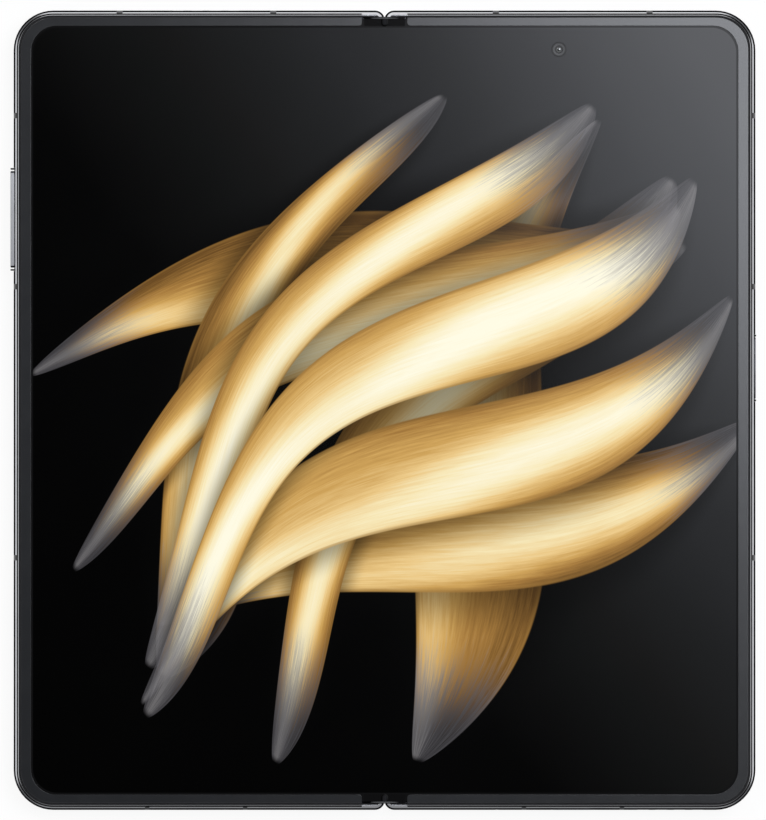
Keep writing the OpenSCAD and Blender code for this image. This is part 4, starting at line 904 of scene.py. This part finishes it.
# inner camera: a black ring, a sloping collar and a small domed lens, all below the screen's face; each
# profile is a list of (radius, height)
innerCam = {
    "foot": 5.4, "rounds": (0.5, 0.15),
    "ring": [(0, 5.4), (1.33, 5.4), (1.33, 6.36), (1.37, 6.36), (1.37, 6.66), (1.17, 6.66), (1.17, 6.25),
             (0, 6.25)],
    "collar": [(1.165, 6.25), (1.165, 6.58), (1.12, 6.6), (0.85, 6.45), (0.83, 6.25)],
    "lens": {"radius": 0.82, "curve": 1.15, "rim": 6.1, "foot": 5.95},
    "coat": [(0.0, "0c0d0e"), (0.4, "1d2124"), (0.55, "2b3033"), (0.8, "1c1f21"), (1.0, "0e0f10")],
}
low, high, middle = nodeBox("inner_camera")
centre = middle * (1, 1, 0)
housing = block(low, (high[0], high[1], innerCam["foot"]), *innerCam["rounds"])
ring, collar = turned(centre, innerCam["ring"], 64), turned(centre, innerCam["collar"], 64, closed=True)
barrel = surfacePiece("innerCameraBarrel", [ring, housing], look["cameraBlack"])
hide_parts("inner_camera")
collar = surfacePiece("innerCameraCollar", [collar], look["capPlastic"])
dome = domedLens("innerCameraLens", "innerLensCoat", centre, innerCam["lens"], innerCam["coat"], 64)
settle("right_half", "camera_black", barrel, collar, dome)

# back cameras: turned rings, black cover glasses with a clear middle, stepped barrels and coated lenses
backCams = {
    "main": {"aperture": 3.0, "barrel": 4.3,
             "coat": [(0.0, "05050a"), (0.35, "0b0a1c"), (0.6, "1a1236"), (0.8, "2b1a4a"), (1.0, "101020")]},
    "wide": {"aperture": 2.5, "barrel": 3.9,
             "coat": [(0.0, "050807"), (0.35, "071512"), (0.6, "0d2b26"), (0.8, "123f3c"), (1.0, "0a1817")]},
    "tele": {"aperture": 2.2, "barrel": 4.0,
             "coat": [(0.0, "080505"), (0.35, "160a10"), (0.6, "2e1230"), (0.8, "401a46"), (1.0, "160a18")]},
}
# the ring as (inset from its outer radius, height), the glass as (radius, height) and, at the aperture, as
# (that much wider, height)
lensShape = {
    "ring": [(0, 0.8), (0, 0.24), (0.05, 0.12), (0.16, 0.03), (0.3, 0.0), (0.5, 0.0), (0.54, 0.06),
             (0.6, 0.06), (0.64, 0.0), (0.9, 0.0), (1.05, 0.05), (1.25, 0.26), (1.25, 0.8)],
    "glassOut": [(4.7, 0.7), (4.7, 0.34), (4.66, 0.3)], "glassIn": [(0.12, 0.3), (0, 0.42), (0, 0.7)],
    "ringRadius": 6.0, "barrelZ": 0.75, "barrelTop": 3.2, "housingZ": 3.05, "rounds": (0.6, 0.25),
    "mouth": 0.1, "steps": 4, "stepIn": 0.2, "stepUp": 0.26, "firstIn": 0.12, "firstUp": 0.06, "lean": 0.05,
    "lensGap": 0.04, "lensCurve": -2.2, "lensUnder": 0.08, "lensThick": 0.18,
}
ringSheets, glassSheets, barrelZ = [], [], lensShape["barrelZ"]
for name, cam in backCams.items():
    low, high, middle = nodeBox(name + "_camera")
    centre, aperture = middle * (1, 1, 0), cam["aperture"]
    ring = [(lensShape["ringRadius"] - inset, z) for inset, z in lensShape["ring"]]
    glass = lensShape["glassOut"] + [(aperture + more, z) for more, z in lensShape["glassIn"]]
    ringSheets.append(turned(centre, ring, 96, closed=True))
    glassSheets.append(turned(centre, glass, 96, closed=True))
    # the bore narrows in steps from the aperture to the lens
    bore = [(aperture + lensShape["mouth"], barrelZ)]
    for k in range(lensShape["steps"]):
        radius, rise = aperture - lensShape["firstIn"] - lensShape["stepIn"] * k, lensShape["stepUp"] * k
        bore += [(radius, barrelZ + lensShape["firstUp"] + rise),
                 (radius - lensShape["lean"], barrelZ + rise + lensShape["stepUp"])]
    boreEnd, lensZ = bore[-1]
    barrel = [(0, lensShape["barrelTop"]), (cam["barrel"], lensShape["barrelTop"]), (cam["barrel"], barrelZ)]
    housing = block((low[0], low[1], lensShape["housingZ"]), high, *lensShape["rounds"])
    body = surfacePiece(name + "CameraBody", [turned(centre, barrel + bore + [(0, lensZ)], 96), housing],
                        look["cameraBlack"])
    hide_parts(name + "_camera")
    radius, rim = boreEnd - lensShape["lensGap"], lensZ - lensShape["lensUnder"]
    dome = {"radius": radius, "curve": lensShape["lensCurve"] * radius, "rim": rim,
            "foot": rim + lensShape["lensThick"]}
    lens = domedLens(name + "CameraLens", name + "LensCoat", centre, dome, cam["coat"], 96)
    settle("right_half", "camera_black", body, lens)
rings = surfacePiece("cameraRingSet", ringSheets, look["polishedMetal"])
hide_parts("camera_rings")
settle("right_half", "ring_metal", rings)
glasses = surfacePiece("cameraGlassSet", glassSheets, look["lensCover"])
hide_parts("camera_glasses")
settle("right_half", "lens_glass", glasses)

# flash: a lens of fine stepped rings over its base
flash = {"radius": 2.45, "rings": 9, "tooth": (0.86, 0.96), "lean": 0.02, "foot": 1.8, "stemRadius": 1.8,
         "coat": [(0.0, "f4dd8a"), (0.35, "efd27a"), (0.5, "e8dcc0"), (0.85, "e4dfd2"), (1.0, "b5afa2")]}
low, high, middle = nodeBox("flash_led")
centre, (near, far), foot = middle * (1, 1, 0), flash["tooth"], flash["foot"]
edges = flash["radius"] * (1 - np.arange(flash["rings"] + 1) / flash["rings"])
teeth = [point for a, b in zip(edges[:-1], edges[1:]) for point in ((a, far), (b + flash["lean"], near))]
lens = [(0, foot), (flash["radius"], foot)] + teeth + [(0, near)]
flashLens = surfacePiece("flashLens", [turned(centre, lens)],
                         coatedLens("flashGlass", flash["radius"], centre, flash["coat"]))
stem = [(0, foot), (flash["stemRadius"], foot), (flash["stemRadius"], high[2]), (0, high[2])]
flashStem = surfacePiece("flashStem", [turned(centre, stem, 48)], look["modulePlastic"])
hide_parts("flash_led")
settle("right_half", "flash_lens", flashLens, flashStem)

# cover camera: a slim metal ring and a dark domed lens, flush in the glass on the back of the left half
coverCam = {"ring": [(1.72, 2.5), (1.72, 2.392), (1.67, 2.385), (1.5, 2.385), (1.36, 2.44), (1.36, 2.5)],
            "lens": {"radius": 1.3, "curve": -9.0, "rim": phone["backZ"] + 0.005, "foot": 2.5},
            "coat": [(0.0, "020203"), (0.35, "04060c"), (0.5, "0a1020"), (0.62, "05070e"), (0.8, "020203"),
                     (1.0, "010102")]}
centre = nodeBox("cover_camera")[2] * (1, 1, 0)
coverRing = surfacePiece("coverCameraRing", [turned(centre, coverCam["ring"], 64, closed=True)],
                         look["polishedMetal"])
coverLens = domedLens("coverCameraLens", "coverLensCoat", centre, coverCam["lens"], coverCam["coat"], 64)
settle("left_half", "camera_black", coverRing, coverLens)
print("phone: keys and cameras made")

# charging port: gold contacts on both faces of the tongue, and a thin dark rim that carries the shell out to
# the curved face of the frame
port = {"contacts": 12, "pitch": 0.5, "halfWidth": 0.13, "from": 1.55, "length": 3.4, "faces": (0.3, 0.37),
        "rounds": (0.05, 0.015), "wall": 0.12, "rimY": (-78.32, -78.02)}
low, high, (portX, _, portZ) = nodeBox("charging_port")
near = port["from"] - phone["halfHeight"]
sheets = []
for k in range(port["contacts"]):
    x = portX + (k - (port["contacts"] - 1) / 2) * port["pitch"]
    for face in (1, -1):
        under, over = sorted(portZ + face * z for z in port["faces"])
        sheets.append(block((x - port["halfWidth"], near, under),
                            (x + port["halfWidth"], near + port["length"], over), *port["rounds"]))
strips = surfacePiece("portContacts", sheets, look["contactGold"])
rimLevels = [(inset, y) for inset, ys in ((0, port["rimY"]), (port["wall"], port["rimY"][::-1])) for y in ys]
halfX, _, halfZ = (high - low) / 2
rimRing = plate(roundedOutline(halfX, halfZ, halfZ - 0.01, 12, (portX, portZ)), rimLevels, "xz")
rimRing.update(closeRows=True, ends=False)
portEdge = surfacePiece("portRim", [rimRing], look["modulePlastic"])
settle("right_half", "port_steel", strips, portEdge)

# gauze behind the speaker slots
gauze = {"inset": 0.6, "fromEdge": 2.26, "thick": 0.1, "heights": (3.7, 5.4), "rounds": (0.04, 0.02)}
for half, node, edge in (("left", "earpiece_speaker", 1), ("right", "bottom_speaker", -1)):
    low, high, _ = nodeBox(node)
    wall, (foot, top) = edge * (phone["halfHeight"] - gauze["fromEdge"]), gauze["heights"]
    near, far = sorted((wall, wall - edge * gauze["thick"]))
    start, end = (low[0] + gauze["inset"], near, foot), (high[0] - gauze["inset"], far, top)
    piece = surfacePiece(half + "SpeakerGauze", [block(start, end, *gauze["rounds"])], look["speakerGauze"])
    settle(half + "_half", "module_black", piece)

# batteries: a soft pouch with its folded top edge, and a pull tab; both lie at these places from its corners
battery = {"rounds": (2.0, 0.55),
           "foldFrom": (1.5, -2.6, -0.25), "foldTo": (-1.5, -0.4, 0), "foldRounds": (0.5, 0.1),
           "tabFrom": (8, 0.5, -0.02), "tabTo": (16, 13, 0.06), "tabRounds": (1.5, 0.02)}
for half in ("left", "right"):
    low, high, _ = nodeBox(half + "_battery")
    foldCorner, tabCorner = (low[0], high[1], high[2]), (low[0], low[1], high[2])
    fold = block(np.add(foldCorner, battery["foldFrom"]), high + battery["foldTo"], *battery["foldRounds"])
    tab = (np.add(tabCorner, battery[end]) for end in ("tabFrom", "tabTo"))
    sheets = [block(low, high, *battery["rounds"]), fold]
    pouch = surfacePiece(half + "BatteryPouch", sheets, look["batteryFoil"])
    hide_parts(half + "_battery")
    tab = surfacePiece(half + "BatteryTab", [block(*tab, *battery["tabRounds"])], look["tabTape"])
    settle(half + "_half", "battery_foil", pouch, tab)

# chips and connectors in rows on the free parts of the boards: each row's place and size, in shares of the
# board, and its count
chipRows = {
    "left": [("left_board", (0.10, 0.08), (0.16, 0.10), 4), ("left_board", (0.12, 0.90), (0.10, 0.06), 5)],
    "right": [("main_board", (0.04, 0.08), (0.07, 0.14), 2), ("main_board", (0.30, 0.05), (0.07, 0.05), 2)],
}
chip = {"boardTop": 1.98, "sunk": 0.02, "gap": 0.03, "height": 0.45, "taller": 0.15, "plugEvery": 3,
        "rounds": (0.15, 0.06)}
for half, rows in chipRows.items():
    chips, plugs = [], []
    for node, (startX, startY), (sizeX, sizeY), count in rows:
        low, high, _ = nodeBox(node)
        span, top = high - low, phone["backZ"] + chip["boardTop"]
        for k in range(count):
            x, y = low[0] + span[0] * (startX + k * (sizeX + chip["gap"])), low[1] + span[1] * startY
            target = plugs if k % chip["plugEvery"] == chip["plugEvery"] - 1 else chips
            upper = top + chip["height"] + chip["taller"] * (k % 2)
            start, end = (x, y, top - chip["sunk"]), (x + span[0] * sizeX, y + span[1] * sizeY, upper)
            target.append(block(start, end, *chip["rounds"]))
    for label, sheets, finish in (("Chips", chips, "chipEpoxy"), ("Plugs", plugs, "connectorPlastic")):
        if sheets:
            settle(half + "_half", "board_green", surfacePiece(half + "Board" + label, sheets, look[finish]))
print("phone: port, gauze, batteries and board parts made")

room = {
    "floorColour": "f8f8f8", "floorRoughness": 0.85, "floorZ": -0.02, "floorHalf": 3, "plainShare": 0.9,
    "frontFall": (74, 82), "frontShare": 0.74, "sideFall": (69, 75), "endFall": (74, 80), "cornerShare": 0.95,
    "wallLight": 0.6, "ceilingLight": 0.05, "ceiling": (0.8, 0.96),
    "cameraHeight": 2.0, "viewWidth": 150.0, "viewShift": (-0.304, 0.04),
}


def seenDirectly(tree):
    # 1 for rays from the camera, and 1 for those and the ones that gloss and glass send on
    path, kinds = tree.nodes.new("ShaderNodeLightPath").outputs, ("Camera", "Glossy", "Transmission")
    camera, glossy, sent = (Field(tree, path["Is " + kind + " Ray"]) for kind in kinds)
    return camera, camera.atLeast(glossy).atLeast(sent)


# the floor is partly its own lit colour, which keeps the shadow, and partly plain white to camera and gloss
material, tree, shader = newMaterial("paleFloor")
shader["Base Color"].default_value = tone(room["floorColour"])
shader["Roughness"].default_value = room["floorRoughness"]
plain, share = tree.nodes.new("ShaderNodeEmission"), tree.nodes.new("ShaderNodeMixShader")
byCamera, direct = seenDirectly(tree)
feed(tree, direct * room["plainShare"], share.inputs[0])
# what gloss mirrors of it is painted darker in front of the phone and beyond its corners, away from the key
# light: painted shade for the metal to mirror
x, y, _ = splitVector(tree, placeOn(tree))
corners = x.abs().step(*room["sideFall"]) * y.abs().step(*room["endFall"])
paintedGlossShade = ((-y).step(*room["frontFall"]) * room["frontShare"]).atLeast(corners * room["cornerShare"])
feed(tree, (1 - paintedGlossShade).atLeast(byCamera), plain.inputs["Strength"])
tree.links.new(tree.nodes["Principled BSDF"].outputs[0], share.inputs[1])
tree.links.new(plain.outputs[0], share.inputs[2])
tree.links.new(share.outputs[0], tree.nodes["Material Output"].inputs["Surface"])
mesh = bpy.data.meshes.new("floor")
corners = np.array([(-1, -1), (1, -1), (1, 1), (-1, 1)]) * room["floorHalf"]
mesh.from_pydata(np.column_stack([corners, np.full(4, room["floorZ"] * mm)]).tolist(), [], [(0, 1, 2, 3)])
mesh.materials.append(material)
floor = linked("floor", mesh)
floor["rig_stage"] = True

# white walls under a dark ceiling: gloss that faces up stays black, and metal shows the walls
world = bpy.data.worlds.new("studio")
bpy.context.scene.world = world
world.use_nodes = True
tree = world.node_tree
back = tree.nodes["Background"].inputs
back["Color"].default_value = (1, 1, 1, 1)
up = splitVector(tree, tree.nodes.new("ShaderNodeTexCoord").outputs["Generated"])[2]
ceiling = up.step(*room["ceiling"])
byCamera, direct = seenDirectly(tree)
level = direct * (1 - room["wallLight"]) + room["wallLight"]
feed(tree, (level * (1 - ceiling * (1 - room["ceilingLight"]))).atLeast(byCamera), back["Strength"])

# the key is a round softbox beside the camera; flat gloss at the phone's top right just begins to mirror it
lamps = {
    "keyLamp": {"place": (0.274, 0.205, 0.9), "size": 0.56, "power": 5.5, "colour": (1.0, 1.03, 1.1)},
    "fillLamp": {"place": (-0.3, 0.52, 0.95), "size": 0.22, "power": 1.2, "colour": (1.0, 1.0, 1.0)},
}
for name, lamp in lamps.items():
    light = bpy.data.lights.new(name, "AREA")
    light.shape, light.size, light.energy = "DISK", lamp["size"], lamp["power"]
    light.color = lamp["colour"]
    holder = linked(name, light)
    holder.location = lamp["place"]
    x, y, z = lamp["place"]
    holder.rotation_euler = (np.arctan2(np.hypot(x, y), z), 0, np.arctan2(x, -y))

camera = bpy.data.cameras.new("camera")
camera.sensor_fit, camera.sensor_width = "HORIZONTAL", 36.0
camera.lens = camera.sensor_width * room["cameraHeight"] / (room["viewWidth"] * mm)
camera.clip_start, camera.clip_end = 0.01, 20.0
holder = linked("camera", camera)
shiftX, shiftY = room["viewShift"]
holder.location = (shiftX * mm, shiftY * mm, room["cameraHeight"] + phone["displayTop"] * mm)
bpy.context.scene.camera = holder
bpy.context.scene.view_settings.view_transform = "Standard"
print("phone: room, lights and camera made")

low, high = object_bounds()
